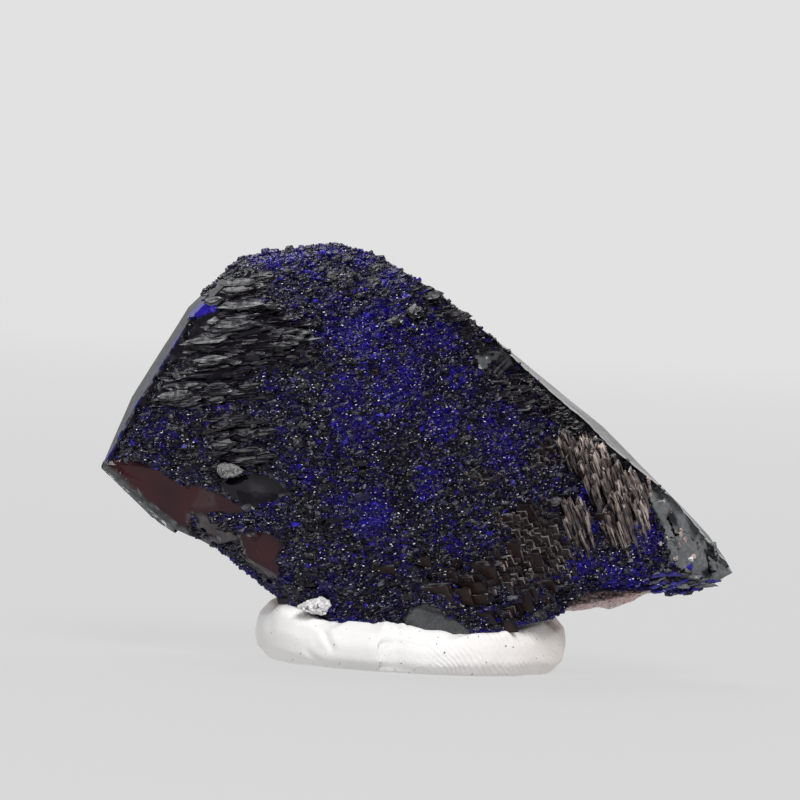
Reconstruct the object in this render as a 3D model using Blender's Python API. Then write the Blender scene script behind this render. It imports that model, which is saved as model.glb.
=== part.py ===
"""Fluorite with quartz: a stepped, druse-crusted fluorite on a quartz matrix, resting on a ring of putty.

Run with blender --background --python part.py, or from Blender's text editor. Metres, +Z up.
The origin is under the middle of the part, on the surface where the putty ring stands. The druse faces -Y.
"""

import math
import random

import bmesh
import bpy
from mathutils import Matrix, Vector
from mathutils.bvhtree import BVHTree

MM = 0.001
GAP = 0.35 * MM  # clearance between pieces that touch
SEED = 27
RAY_START = 60 * MM

# Cubic crystal axes: ROW runs along the level ledges and COLUMN up the steep ones. The treads of the level ledges
# look along COLUMN, up and out, and their risers along FACE, down and out.
ROW = Vector((0.897, -0.423, 0.126)).normalized()
COLUMN = Vector((-0.345, -0.497, 0.796)).normalized()
FACE = ROW.cross(COLUMN).normalized()
LATTICE = Matrix((ROW, COLUMN, FACE)).transposed()

# Corners of the fluorite in millimetres, (x, y, z).
FRONT_RIM = (
    (-31.4, -5.1, 18.7), (-28.7, -5.2, 24.4), (-23.5, -5.8, 33.7), (-18.4, -4.6, 39.1), (-10.0, -3.2, 41.0),
    (-3.2, -4.6, 38.9), (5.2, -6.0, 32.8), (15.4, -6.2, 24.6), (23.4, -5.0, 17.6), (29.8, -3.6, 12.0),
)
FRONT_CROWN = (
    (-15.6, -9.4, 31.6), (-19.5, -9.6, 20.6), (-4.0, -11.6, 28.4), (5.0, -11.4, 22.8), (-7.5, -12.6, 16.0),
    (3.8, -13.0, 12.2), (13.6, -11.0, 15.6), (20.0, -8.8, 12.6),
)
FRONT_FOOT = (
    (-25.6, -7.4, 18.6), (-17.4, -8.8, 14.9), (-12.4, -10.2, 8.2), (-10.6, -10.4, 4.9), (-8.4, -11.2, 4.4),
    (0.4, -12.0, 4.6),
    (-31.6, -5.0, 18.2), (-28.8, -4.2, 15.9), (-25.9, -3.3, 13.3), (-20.2, -3.3, 10.7), (-15.8, -3.2, 7.6),
    (6.8, -12.6, 4.0), (9.4, -12.2, 4.8), (14.6, -10.6, 6.2), (24.0, -6.8, 8.4), (28.6, -4.2, 9.3),
)
BACK_RIM = (
    (-31.8, 5.4, 18.7), (-29.4, 6.2, 25.2), (-24.2, 6.6, 34.5), (-18.9, 5.4, 40.0), (-9.7, 4.4, 41.9),
    (-4.9, 5.0, 40.6), (0.9, 6.4, 37.4), (18.4, 7.2, 24.6), (27.2, 5.2, 16.6), (30.2, 3.0, 13.8), (31.8, -1.4, 11.0),
)
BACK_FACE = (
    (-20.0, 9.6, 30.4), (-8.5, 10.4, 34.6), (9.0, 10.8, 26.0), (20.5, 8.8, 17.6), (-24.5, 8.8, 20.4),
    (-29.6, 4.6, 16.6), (-21.6, 2.2, 11.2), (-13.0, 0.6, 6.4), (16.4, 1.8, 6.9), (24.0, 1.6, 8.3),
    (30.3, -1.9, 10.0), (2.0, -2.0, 4.4),
)

# The flat contact between fluorite and quartz, facing back and down.
CONTACT_POINT = Vector((0.0, -5.6, 5.2)) * MM
CONTACT_NORMAL = Vector((0.0, 0.70, -0.62)).normalized()

# A narrow facet that trims the sharp lower left edge.
EDGE_POINT = Vector((-23.6, -3.6, 12.5)) * MM
EDGE_NORMAL = Vector((-0.502, -0.323, -0.802)).normalized()

# Corners of the quartz behind that contact, in millimetres. The contact face itself adds the rest of its outline.
QUARTZ_CORNERS = (
    (-21.0, 9.2, 15.0), (-10.0, 13.2, 11.6), (-9.0, 12.6, 19.6), (2.0, 14.2, 14.0), (4.4, 13.4, 20.4),
    (14.6, 12.8, 16.4), (15.4, 12.4, 10.8), (-13.0, -5.4, 5.6), (-4.0, -4.4, 5.0), (8.6, -4.0, 5.2),
    (15.6, -3.4, 6.4), (20.2, -1.0, 6.9), (23.4, 3.4, 8.2), (22.0, 8.4, 11.6), (-6.0, 9.6, 7.0), (8.0, 9.8, 7.0),
    (-16.0, 4.0, 8.2), (-19.6, 5.0, 11.4),
)
CONTACT_SHARE = 0.93  # the quartz reaches this far across the contact face


class Zone:
    """A patch of a face, as an ellipse in x and z, with the crystal blocks that grow there."""

    def __init__(self, centre, reach, spacing, size, tilt, margin=0.65):
        self.centre = centre  # x and z, millimetres
        self.reach = reach  # half width and half height, millimetres
        self.spacing = spacing  # between blocks across and up, millimetres
        self.size = size  # block along ROW, COLUMN and FACE, millimetres
        self.tilt = tilt  # random misorientation, degrees
        self.margin = margin  # open face that a block needs to each side of its middle, in block sizes

    def holds(self, x, z):
        across = (x - self.centre[0]) / self.reach[0]
        up = (z - self.centre[1]) / self.reach[1]
        return across * across + up * up <= 1.0


# The first zone that holds a place sets what grows there. Sizes follow ROW, COLUMN and FACE.
LEVEL_LEDGE = (6.6, 1.35, 2.6)
STEEP_LEDGE = (1.35, 7.0, 2.4)
PARQUET = (3.3, 2.9, 2.0)
DRUSE = (2.2, 2.2, 2.2)
FRONT_ZONES = (
    Zone((-20.4, 31.4), (7.6, 6.2), (4.4, 1.45), LEVEL_LEDGE, tilt=1.5),
    Zone((-25.4, 25.4), (4.8, 3.4), (3.6, 1.35), (4.6, 1.25, 2.4), tilt=2),
    Zone((-16.4, 21.4), (4.8, 3.4), (3.4, 1.35), (4.6, 1.2, 2.4), tilt=3),
    Zone((-11.0, 30.2), (4.2, 3.6), (3.0, 1.6), (3.8, 1.4, 2.2), tilt=6),
    Zone((20.4, 18.4), (7.6, 6.0), (1.45, 4.8), STEEP_LEDGE, tilt=1.5),
    Zone((27.6, 12.6), (3.6, 3.0), (1.7, 2.8), (1.3, 3.4, 2.0), tilt=5),
    Zone((11.6, 25.4), (5.0, 4.6), (1.9, 2.8), (1.7, 3.6, 2.0), tilt=5),
    Zone((9.6, 14.4), (6.0, 6.6), (2.7, 2.5), PARQUET, tilt=1.5),
    Zone((5.6, 7.6), (7.0, 2.6), (3.6, 2.2), (4.2, 2.0, 2.0), tilt=3),
    Zone((0.0, 22.0), (60.0, 60.0), (2.3, 2.2), DRUSE, tilt=38, margin=0.9),
)
SINK = (0.2, 0.4)  # how far a block's middle lies inside, in block depths
STEEPEST = -0.34  # blocks grow only where normal y is below this
LOWEST = -0.36  # and normal z above this

# Smooth facets left bare of blocks, as middle and half sizes in x and z, millimetres.
BARE_FACETS = (
    ((7.4, 30.2), (3.2, 2.4)), ((3.4, 5.4), (3.8, 2.1)), ((-29.0, 18.4), (3.0, 2.0)), ((-15.9, 16.6), (3.8, 2.3)),
    ((-24.4, 16.6), (4.2, 2.6)), ((-20.2, 13.8), (3.4, 2.6)), ((-15.4, 10.6), (2.6, 2.6)),
)

# Growth terraces on the big facets behind: share of the facet's outline, and rise in millimetres.
TERRACES = ((0.74, 0.4), (0.5, 0.8))
TERRACE_AREA = 30.0  # square millimetres: smaller facets stay flat

# Bites out of the fluorite, millimetres: the shell-shaped hollow, and the notch under the right of the front.
HOLLOW_CENTRE = (-15.9, -15.2, 17.0)
HOLLOW_RADIUS = 6.0
NOTCH_OUTLINE = ((13.0, 5.2), (14.2, 6.3), (17.0, 7.7), (20.4, 8.3), (24.0, 8.8), (31.0, 9.3), (31.0, 0.0), (13.0, 0.0))
NOTCH_REACH = (-16.0, -3.6)
# Splits near the thin end, as middle, size and turn about Y in degrees.
SPLITS = (
    ((22.6, -6.6, 17.4), (0.9, 3.0, 2.4), -24.0),
    ((25.6, -5.4, 15.8), (0.9, 2.6, 2.6), -26.0),
    ((29.4, -4.2, 12.6), (0.8, 2.6, 3.4), -14.0),
)

# Knobs of quartz on its back: x and z of the middle, and radius, millimetres.
QUARTZ_KNOBS = (
    (-17.5, 14.6, 2.2), (-12.6, 16.8, 2.6), (-8.6, 13.0, 2.4), (-4.6, 17.6, 2.2), (-1.4, 13.6, 2.8), (3.0, 17.6, 2.6),
    (7.4, 14.6, 2.4), (11.4, 17.0, 2.5), (15.2, 13.6, 2.8), (2.6, 10.6, 2.0), (-5.4, 9.6, 2.0), (12.0, 10.2, 1.9),
    (19.4, 10.8, 2.0), (-20.6, 15.0, 1.6),
)
KNOB_SINK = 0.45  # how far a knob's middle lies inside, in radii

# White quartz grains caught in the front: x and z of the middle, and half sizes, millimetres.
GRAINS = {
    "quartz_grain_side": ((-18.4, 18.9), (1.25, 1.0, 0.95)),
    "quartz_grain_foot": ((-9.5, 6.5), (1.5, 1.1, 1.05)),
}
GRAIN_POCKET = 1.3  # pocket over grain size
GRAIN_RISE = 0.35  # how far a grain's middle lies in front of the face, in its half depths

# Putty ring, millimetres.
RING_RADIUS = 11.4
RING_HALF_WIDTH = 4.2
RING_SIDE_HEIGHT = 6.4
RING_FRONT_HEIGHT = 5.2
RING_BACK_HEIGHT = 9.0
RING_AROUND = 75
RING_SECTION = 14
RING_SQUARENESS = 2.5  # 2 is a round section, more is squarer
RING_FLAT = 0.8  # the foot is cut flat this far down, in half widths
SEAM_ANGLE = -96.5  # degrees about Z, where the rolled end laps over the start
SEAM_STEP = 0.55  # how far the start lies in under the end
SEAM_FADE = 34.0  # degrees over which that step fades
PRESS_REACH = 0.9  # the putty keeps clear of whatever lies above within this distance


def clear_scene():
    for obj in list(bpy.data.objects):
        bpy.data.objects.remove(obj)


def collection(name):
    made = bpy.data.collections.new(name)
    bpy.context.scene.collection.children.link(made)
    return made


def material(name, colour, roughness, metallic=0.0):
    made = bpy.data.materials.new(name)
    made.use_nodes = True
    shader = made.node_tree.nodes["Principled BSDF"]
    shader.inputs["Base Color"].default_value = (*colour, 1.0)
    shader.inputs["Roughness"].default_value = roughness
    shader.inputs["Metallic"].default_value = metallic
    made.diffuse_color = (*colour, 1.0)
    return made


def add_object(name, bm, group, finish=None):
    mesh = bpy.data.meshes.new(name)
    bm.to_mesh(mesh)
    bm.free()
    obj = bpy.data.objects.new(name, mesh)
    group.objects.link(obj)
    if finish:
        mesh.materials.append(finish)
    return obj


def add_helper(name, bm, group):
    """A cutter or a piece that a Boolean joins: it isn't a node of its own."""
    obj = add_object(name, bm, group)
    obj.hide_render = True
    obj.display_type = "WIRE"
    return obj


def hull_of(*groups):
    """The convex block over all these corners."""
    bm = bmesh.new()
    for group in groups:
        for corner in group:
            bm.verts.new(Vector(corner) * MM)
    made = bmesh.ops.convex_hull(bm, input=bm.verts)
    inside = [v for v in made["geom_interior"] + made["geom_unused"] if isinstance(v, bmesh.types.BMVert)]
    bmesh.ops.delete(bm, geom=list(set(inside)), context="VERTS")
    bmesh.ops.dissolve_limit(bm, angle_limit=math.radians(1.0), verts=bm.verts, edges=bm.edges)
    bmesh.ops.recalc_face_normals(bm, faces=bm.faces)
    return bm


def cleave(bm, point, normal):
    """Cuts off what lies on the normal's side of a plane, and closes the cut with one flat face."""
    geom = bm.verts[:] + bm.edges[:] + bm.faces[:]
    cut = bmesh.ops.bisect_plane(bm, geom=geom, plane_co=point, plane_no=normal, clear_outer=True, dist=1e-7)
    edges = [e for e in cut["geom_cut"] if isinstance(e, bmesh.types.BMEdge)]
    bmesh.ops.edgeloop_fill(bm, edges=edges)
    bmesh.ops.recalc_face_normals(bm, faces=bm.faces)


def boolean(obj, other, operation, itself=False):
    modifier = obj.modifiers.new(f"{operation.lower()} {other.name}", "BOOLEAN")
    modifier.object = other
    modifier.operation = operation
    modifier.solver = "EXACT"
    modifier.use_self = itself


def freeze(obj):
    """Applies the object's modifiers, so that later pieces can be fitted to it, and drops any chip cut loose."""
    graph = bpy.context.evaluated_depsgraph_get()
    bm = bmesh.new()
    bm.from_mesh(obj.evaluated_get(graph).data)
    obj.modifiers.clear()
    chips = sorted(islands(bm), key=len)[:-1]
    bmesh.ops.delete(bm, geom=[v for chip in chips for v in chip], context="VERTS")
    bm.to_mesh(obj.data)
    bm.free()


def islands(bm):
    """The separate bodies of a mesh, as lists of vertices."""
    left = set(bm.verts)
    while left:
        found = [left.pop()]
        for vert in found:
            near = {e.other_vert(vert) for e in vert.link_edges} & left
            left -= near
            found.extend(near)
        yield found


def tree_of(*objs):
    bm = bmesh.new()
    for obj in objs:
        bm.from_mesh(obj.data)
    tree = BVHTree.FromBMesh(bm)
    bm.free()
    return tree


def lump(bm, middle, radii, dice, roughness, subdivisions=2):
    """A rough faceted grain or knob."""
    made = bmesh.ops.create_icosphere(bm, subdivisions=subdivisions, radius=1.0)
    for vert in made["verts"]:
        jitter = 1.0 + dice.uniform(-roughness, roughness)
        vert.co = middle + Vector([c * r * jitter for c, r in zip(vert.co, radii)])


def front_at(tree, x, z, look=1):
    """Where a ray along Y (look is +1 or -1) meets the surface at x, z in millimetres, and its normal there."""
    start = Vector((x * MM, -look * RAY_START, z * MM))
    place, normal, _, _ = tree.ray_cast(start, Vector((0, look, 0)))
    return place, normal


def open_face(place, normal):
    """True for a place on the druse's side, away from the rim and from the cleaved faces below."""
    return place is not None and normal.y < STEEPEST and normal.z > LOWEST


def is_bare(x, z):
    return any(
        ((x - middle[0]) / reach[0]) ** 2 + ((z - middle[1]) / reach[1]) ** 2 < 1.0
        for middle, reach in BARE_FACETS
    )


def zone_places(zone, dice):
    """Jittered places in a zone, staggered row by row, in millimetres."""
    across, up = zone.spacing
    rows = int(min(zone.reach[1], 22.0) / up) + 1
    columns = int(min(zone.reach[0], 33.0) / across) + 1
    for row in range(-rows, rows + 1):
        for column in range(-columns, columns + 1):
            x = zone.centre[0] + (column + 0.5 * (row % 2) + dice.uniform(-0.28, 0.28)) * across
            z = zone.centre[1] + (row + dice.uniform(-0.22, 0.22)) * up
            if zone.holds(x, z):
                yield x, z


def block_fits(tree, place, size, margin):
    """True where both ends of a block stay over the open face."""
    for side in (ROW * size[0] * margin, COLUMN * size[1] * margin):
        for end in (place + side, place - side):
            if not open_face(*front_at(tree, end.x / MM, end.z / MM)):
                return False
    return True


def grow_blocks(bm, zones, tree, dice):
    """Lattice blocks sunk in a face, which leave it in steps."""
    for index, zone in enumerate(zones):
        for x, z in zone_places(zone, dice):
            if is_bare(x, z) or any(earlier.holds(x, z) for earlier in zones[:index]):
                continue
            place, normal = front_at(tree, x, z)
            size = [side * dice.uniform(0.75, 1.2) * MM for side in zone.size]
            if not open_face(place, normal) or not block_fits(tree, place, size, zone.margin):
                continue
            tilt = [math.radians(dice.uniform(-zone.tilt, zone.tilt)) for _ in range(3)]
            turn = LATTICE @ Matrix.Rotation(tilt[0], 3, "X") @ Matrix.Rotation(tilt[1], 3, "Y")
            turn = turn @ Matrix.Rotation(tilt[2], 3, "Z")
            middle = place - normal * size[2] * dice.uniform(*SINK)
            shape = Matrix.Translation(middle) @ turn.to_4x4() @ Matrix.Diagonal((*size, 1.0))
            bmesh.ops.create_cube(bm, size=1.0, matrix=shape)


def prism(bm, low, high):
    """A solid between two outlines with the same number of corners."""
    low = [bm.verts.new(corner) for corner in low]
    high = [bm.verts.new(corner) for corner in high]
    faces = [bm.faces.new(low), bm.faces.new(high)]
    for i in range(len(low)):
        j = (i + 1) % len(low)
        faces.append(bm.faces.new((low[i], low[j], high[j], high[i])))
    bmesh.ops.recalc_face_normals(bm, faces=faces)


def grow_terraces(bm, body):
    """Nested flat steps on the body's big facets that face back and up."""
    for face in body.data.polygons:
        if face.normal.y < 0.3 or face.normal.z < -0.2 or face.area < TERRACE_AREA * MM * MM:
            continue
        for share, rise in TERRACES:
            outline = [face.center + (body.data.vertices[i].co - face.center) * share for i in face.vertices]
            lift = face.normal * rise * MM
            prism(bm, [corner - lift for corner in outline], [corner + lift for corner in outline])


def bites(helpers):
    """The cutters that hollow, notch and split the fluorite, in one mesh."""
    bm = bmesh.new()
    hollow = Matrix.Translation(Vector(HOLLOW_CENTRE) * MM)
    bmesh.ops.create_icosphere(bm, subdivisions=3, radius=HOLLOW_RADIUS * MM, matrix=hollow)
    prism(bm, *([Vector((x, y, z)) * MM for x, z in NOTCH_OUTLINE] for y in NOTCH_REACH))
    for middle, size, turn in SPLITS:
        shape = Matrix.Translation(Vector(middle) * MM) @ Matrix.Rotation(math.radians(turn), 4, "Y")
        bmesh.ops.create_cube(bm, size=1.0, matrix=shape @ Matrix.Diagonal((*(Vector(size) * MM), 1.0)))
    return add_helper("bites", bm, helpers)


def contact_corners(fluorite):
    """Corners of the quartz's side of the contact: the fluorite's contact face, drawn in a little, in millimetres."""
    face = max(fluorite.data.polygons, key=lambda p: p.normal.dot(CONTACT_NORMAL) > 0.999 and p.area)
    corners = [fluorite.data.vertices[i].co for i in face.vertices]
    return [tuple((face.center + (corner - face.center) * CONTACT_SHARE) / MM) for corner in corners]


def make_fluorite(group, helpers, finish):
    dice = random.Random(SEED)
    bm = hull_of(FRONT_RIM, FRONT_CROWN, FRONT_FOOT, BACK_RIM, BACK_FACE)
    cleave(bm, CONTACT_POINT, CONTACT_NORMAL)
    cleave(bm, EDGE_POINT, EDGE_NORMAL)
    fluorite = add_object("fluorite", bm, group, finish)
    contact = contact_corners(fluorite)
    steps = bmesh.new()
    grow_terraces(steps, fluorite)
    boolean(fluorite, bites(helpers), "DIFFERENCE", itself=True)
    freeze(fluorite)
    tree = tree_of(fluorite)
    grow_blocks(steps, FRONT_ZONES, tree, dice)
    boolean(fluorite, add_helper("crystal_steps", steps, helpers), "UNION", itself=True)
    freeze(fluorite)
    return fluorite, contact


def make_quartz(group, helpers, finish, contact):
    """The quartz matrix, cleft flat where the fluorite lies on it."""
    dice = random.Random(SEED + 1)
    quartz = add_object("quartz_matrix", hull_of(QUARTZ_CORNERS, contact), group, finish)
    knobs = bmesh.new()
    tree = tree_of(quartz)
    for x, z, radius in QUARTZ_KNOBS:
        place, normal = front_at(tree, x, z, look=-1)
        radii = [radius * dice.uniform(0.8, 1.2) * MM for _ in range(3)]
        lump(knobs, place - normal * radius * KNOB_SINK * MM, radii, dice, 0.12, subdivisions=1)
    boolean(quartz, add_helper("quartz_knobs", knobs, helpers), "UNION", itself=True)
    freeze(quartz)
    bm = bmesh.new()
    bm.from_mesh(quartz.data)
    cleave(bm, CONTACT_POINT + CONTACT_NORMAL * GAP, -CONTACT_NORMAL)
    bm.to_mesh(quartz.data)
    bm.free()
    return quartz


def make_grains(group, helpers, finish, fluorite):
    """The two white grains, each in a pocket of the fluorite."""
    tree = tree_of(fluorite)
    grains = []
    for name, ((x, z), radii) in GRAINS.items():
        place, normal = front_at(tree, x, z)
        middle = place + Vector((0, -radii[1] * GRAIN_RISE * MM, 0))
        grain, pocket = bmesh.new(), bmesh.new()
        lump(grain, middle, [r * MM for r in radii], random.Random(name), 0.08)
        lump(pocket, middle, [r * GRAIN_POCKET * MM + GAP for r in radii], random.Random(name), 0.08)
        grains.append(add_object(name, grain, group, finish))
        boolean(fluorite, add_helper(f"{name}_pocket", pocket, helpers), "DIFFERENCE")
        freeze(fluorite)
    return grains


def under_lap(angle):
    """How much of the seam's step is left at this angle, from 1 just past the seam to 0."""
    return max(0.0, 1.0 - (angle - SEAM_ANGLE) % 360.0 / SEAM_FADE)


def ring_height(angle):
    """Height of the putty before the stone is pressed in, in millimetres."""
    toward_back = math.sin(math.radians(angle))
    end = RING_BACK_HEIGHT if toward_back > 0 else RING_FRONT_HEIGHT
    return RING_SIDE_HEIGHT + (end - RING_SIDE_HEIGHT) * abs(toward_back) ** 3


def make_putty(group, finish, *stones):
    """A rolled rope of putty closed into a ring, flat under its foot, with the stones pressed into its top."""
    bpy.ops.mesh.primitive_torus_add(
        major_segments=RING_AROUND, minor_segments=RING_SECTION,
        major_radius=RING_RADIUS * MM, minor_radius=RING_HALF_WIDTH * MM,
    )
    ring = bpy.context.object
    ring.name = ring.data.name = "putty_ring"
    for old in ring.users_collection:
        old.objects.unlink(ring)
    group.objects.link(ring)
    ring.data.materials.append(finish)
    tree = tree_of(*stones)
    foot = -RING_FLAT * RING_HALF_WIDTH * MM
    for vert in ring.data.vertices:
        x, y, z = vert.co
        angle = math.degrees(math.atan2(y, x))
        around = math.hypot(x, y)
        swell = squared((around - RING_RADIUS * MM) / (RING_HALF_WIDTH * MM), z / (RING_HALF_WIDTH * MM))
        shrink = 1.0 - SEAM_STEP / RING_HALF_WIDTH * under_lap(angle)
        share = (max(z * swell, foot) - foot) / (RING_HALF_WIDTH * MM - foot)
        radius = RING_RADIUS * MM + (around - RING_RADIUS * MM) * swell * shrink
        height = share * ring_height(angle) * MM * shrink
        vert.co = Vector((x / around * radius, y / around * radius, height))
        height = min([height] + [ceiling - GAP for ceiling in ceilings(tree, vert.co)])
        vert.co.z = max(height, 0.0)
    return ring


def squared(across, up):
    """How much further out a point of the round section goes to make the section squarer."""
    return (abs(across) ** RING_SQUARENESS + abs(up) ** RING_SQUARENESS) ** (-1.0 / RING_SQUARENESS)


def ceilings(tree, point):
    """Heights of the stone above a point and close round it."""
    for x in (-PRESS_REACH, 0, PRESS_REACH):
        for y in (-PRESS_REACH, 0, PRESS_REACH):
            start = Vector((point.x + x * MM, point.y + y * MM, -MM))
            place, _, _, _ = tree.ray_cast(start, Vector((0, 0, 1)))
            if place is not None:
                yield place.z


def main():
    clear_scene()
    group = collection("fluorite_with_quartz")
    helpers = collection("helpers")
    violet = material("fluorite", (0.018, 0.012, 0.06), 0.18)
    pink_white = material("quartz_matrix", (0.66, 0.52, 0.48), 0.5)
    white = material("quartz_grain", (0.75, 0.74, 0.74), 0.4)
    putty = material("putty", (0.8, 0.78, 0.76), 0.6)
    fluorite, contact = make_fluorite(group, helpers, violet)
    quartz = make_quartz(group, helpers, pink_white, contact)
    grains = make_grains(group, helpers, white, fluorite)
    make_putty(group, putty, fluorite, quartz, *grains)


main()
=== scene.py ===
"""Fluorite with quartz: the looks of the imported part, laid out as a Blender 4.5 add-on and run as a script.

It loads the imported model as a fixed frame, grows the crystal crust and ledges over the fluorite, roughens the
quartz, kneads the putty and sets a pale studio round it all. Metres, +Z up. The crust faces -Y.
"""

import math

import bmesh
import bpy
import numpy as np
from bpy.props import FloatProperty, FloatVectorProperty, IntProperty, PointerProperty
from bpy.types import Operator, Panel, PropertyGroup
from mathutils import Matrix, Vector, noise
from mathutils.bvhtree import BVHTree


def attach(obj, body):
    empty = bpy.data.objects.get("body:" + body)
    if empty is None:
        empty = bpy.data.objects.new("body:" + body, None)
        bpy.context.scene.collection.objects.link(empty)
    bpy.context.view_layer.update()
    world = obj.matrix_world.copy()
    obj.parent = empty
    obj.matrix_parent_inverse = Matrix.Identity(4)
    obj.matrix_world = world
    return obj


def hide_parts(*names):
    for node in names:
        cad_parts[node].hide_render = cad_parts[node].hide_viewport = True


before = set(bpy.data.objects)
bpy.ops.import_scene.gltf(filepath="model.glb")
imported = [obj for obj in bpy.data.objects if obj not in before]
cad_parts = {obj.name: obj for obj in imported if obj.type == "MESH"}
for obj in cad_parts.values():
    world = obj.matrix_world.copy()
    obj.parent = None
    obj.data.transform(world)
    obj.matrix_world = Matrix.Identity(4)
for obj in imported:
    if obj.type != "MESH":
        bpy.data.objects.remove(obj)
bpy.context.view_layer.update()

bl_info = {
    "name": "Fluorite with quartz",
    "version": (1, 0, 0),
    "blender": (4, 5, 0),
    "location": "3D Viewport > Sidebar > Mineral",
    "description": "Grows fluorite, quartz and a putty ring over a packed mineral part",
    "category": "Add Mesh",
}

MM = 0.001
FAR = 9.0  # millimetres, where a line doesn't reach

# Cubic crystal axes, as in the part. Level ledges run along ROW, steep ones along COLUMN, and flats look
# along FACE.
ROW = Vector((0.897, -0.423, 0.126)).normalized()
COLUMN = Vector((-0.345, -0.497, 0.796)).normalized()
FACE = ROW.cross(COLUMN).normalized()
LATTICE = np.array(Matrix((ROW, COLUMN, FACE)).transposed())
# Level ledges lean forward from the lattice, so that their treads face up and out.
LEDGE_LEAN = math.radians(14)
FORWARD = Matrix.Rotation(LEDGE_LEAN, 3, ROW)
LEANING = np.array(FORWARD) @ LATTICE
TREAD = FORWARD @ COLUMN


# ---------------------------------------------------------------- places on the front, x and z in millimetres

# Outlines of the zones of the front.
LEVEL_ZONES = (
    ((-22.4, 36.4), (-20.8, 38.4), (-17.4, 38.8), (-16.6, 35.8), (-15.3, 34.7), (-12.7, 33.5), (-12.1, 31.5),
     (-12.5, 29.8), (-16.3, 29.2), (-18.5, 28.5), (-16.2, 27.6), (-16.1, 26.0), (-18.8, 25.5), (-21.8, 25.1),
     (-27.5, 25.0), (-26.4, 27.3), (-25.3, 28.2), (-24.5, 29.0), (-24.2, 30.8), (-23.7, 33.2), (-22.3, 35.5)),
    ((-21.5, 24.3), (-16.7, 24.6), (-16.0, 23.0), (-17.5, 21.0), (-14.9, 20.9), (-14.8, 19.3), (-19.8, 19.0),
     (-20.9, 21.0)),
)
LINED_ZONES = (
    ((-17.3, 32.9), (-12.5, 33.1), (-12.5, 29.9), (-17.1, 29.7)),
    ((6.7, 29.2), (9.0, 29.9), (10.5, 29.6), (12.1, 28.0), (12.5, 26.9), (9.7, 26.5), (7.5, 26.6)),
)
RIM_ZONES = (
    ((-2.6, 38.8), (0.4, 37.4), (4.6, 34.6), (7.9, 32.0), (4.4, 31.9), (2.8, 33.3), (1.2, 34.9), (-0.4, 36.4),
     (-3.0, 37.2)),
)
STEEP_ZONES = (
    ((13.4, 24.9), (14.6, 24.4), (16.7, 24.0), (17.8, 23.5), (18.9, 22.8), (20.5, 21.9), (22.0, 20.7),
     (22.8, 19.8), (22.5, 18.2), (22.2, 16.6), (21.5, 14.7), (20.7, 14.9), (20.0, 16.0), (19.1, 17.9),
     (17.9, 19.4), (16.6, 19.1), (15.5, 20.8), (14.2, 22.1), (13.4, 23.7)),
    ((15.0, 18.0), (16.1, 17.7), (17.0, 16.3), (17.1, 14.5), (16.1, 13.8), (14.9, 15.0), (13.8, 16.7),
     (14.1, 17.9)),
    ((18.7, 17.6), (19.8, 16.4), (20.3, 14.6), (19.3, 14.0), (18.2, 15.5)),
)
FLAT_ZONES = (
    ((7.2, 15.8), (8.6, 17.3), (11.1, 18.0), (12.6, 17.9), (14.2, 16.8), (15.1, 14.8), (16.3, 13.4),
     (16.2, 11.4), (14.5, 9.8), (11.6, 8.7), (8.6, 8.2), (6.1, 8.4), (4.7, 9.4), (5.5, 10.9), (7.0, 12.5),
     (8.1, 14.0)),
    ((11.3, 23.4), (13.3, 23.7), (13.9, 22.1), (13.2, 20.5), (11.4, 20.0), (10.7, 21.7)),
    ((4.2, 19.8), (6.0, 20.7), (8.5, 20.5), (8.5, 19.3), (6.1, 18.3), (4.5, 18.4)),
)
# Broad dark flats low on the front, half under crust.
LOW_FLATS = (
    (0.6, 10.6), (4.4, 11.2), (8.5, 9.8), (13.2, 7.6), (12.4, 6.0), (8.8, 4.9), (6.4, 5.6), (3.4, 7.2),
    (1.0, 8.2),
)
# Smooth facets, each an outline.
CLEAVAGE = (
    (-31.2, 18.8), (-29.9, 19.2), (-27.5, 19.1), (-25.2, 18.3), (-24.4, 17.7), (-23.3, 17.0), (-21.7, 17.2),
    (-19.8, 16.6), (-17.9, 15.6), (-17.1, 15.0), (-17.5, 14.6), (-22.6, 14.4), (-22.7, 12.6), (-23.1, 12.0),
    (-24.1, 12.2), (-26.5, 13.7), (-28.2, 15.2), (-30.7, 17.6),
)
LOW_CLEAVAGE = (
    (-17.6, 12.9), (-14.7, 12.9), (-12.9, 12.2), (-13.6, 10.5), (-13.3, 8.9), (-13.9, 7.8), (-15.3, 8.6),
    (-16.4, 9.7), (-16.9, 11.1),
)
UNDER_CLEAVAGE = ((-31.9, 19.2), (-22.9, 15.2), (-22.0, 11.4), (-26.0, 12.2), (-29.0, 14.8), (-32.2, 18.2))
SHELL = (
    (-19.7, 17.5), (-18.7, 18.2), (-16.5, 18.7), (-14.4, 18.5), (-12.7, 17.1), (-12.3, 16.6), (-13.9, 16.3),
    (-15.5, 15.7), (-16.7, 14.8), (-17.7, 15.8), (-19.2, 16.7),
)
GREY_LEAF = (
    (-1.1, 5.3), (0.1, 6.5), (1.2, 6.9), (2.7, 6.4), (4.2, 5.5), (5.2, 4.8), (6.2, 4.0), (5.0, 3.4),
    (1.8, 3.6), (-0.4, 4.2),
)
TOP_FACET = ((4.3, 31.9), (7.8, 32.0), (5.8, 29.9))
SIDE_FACET = ((7.9, 32.0), (5.8, 29.8), (6.2, 29.5), (9.2, 29.9), (9.0, 31.2))
DARK_FACET = ((-26.2, 30.4), (-24.5, 31.8), (-23.0, 31.2), (-23.2, 29.6), (-26.4, 28.7))
BLUE_FACET = ((-24.6, 33.6), (-23.6, 35.0), (-22.5, 35.5), (-20.8, 34.8), (-22.6, 33.8))
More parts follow.
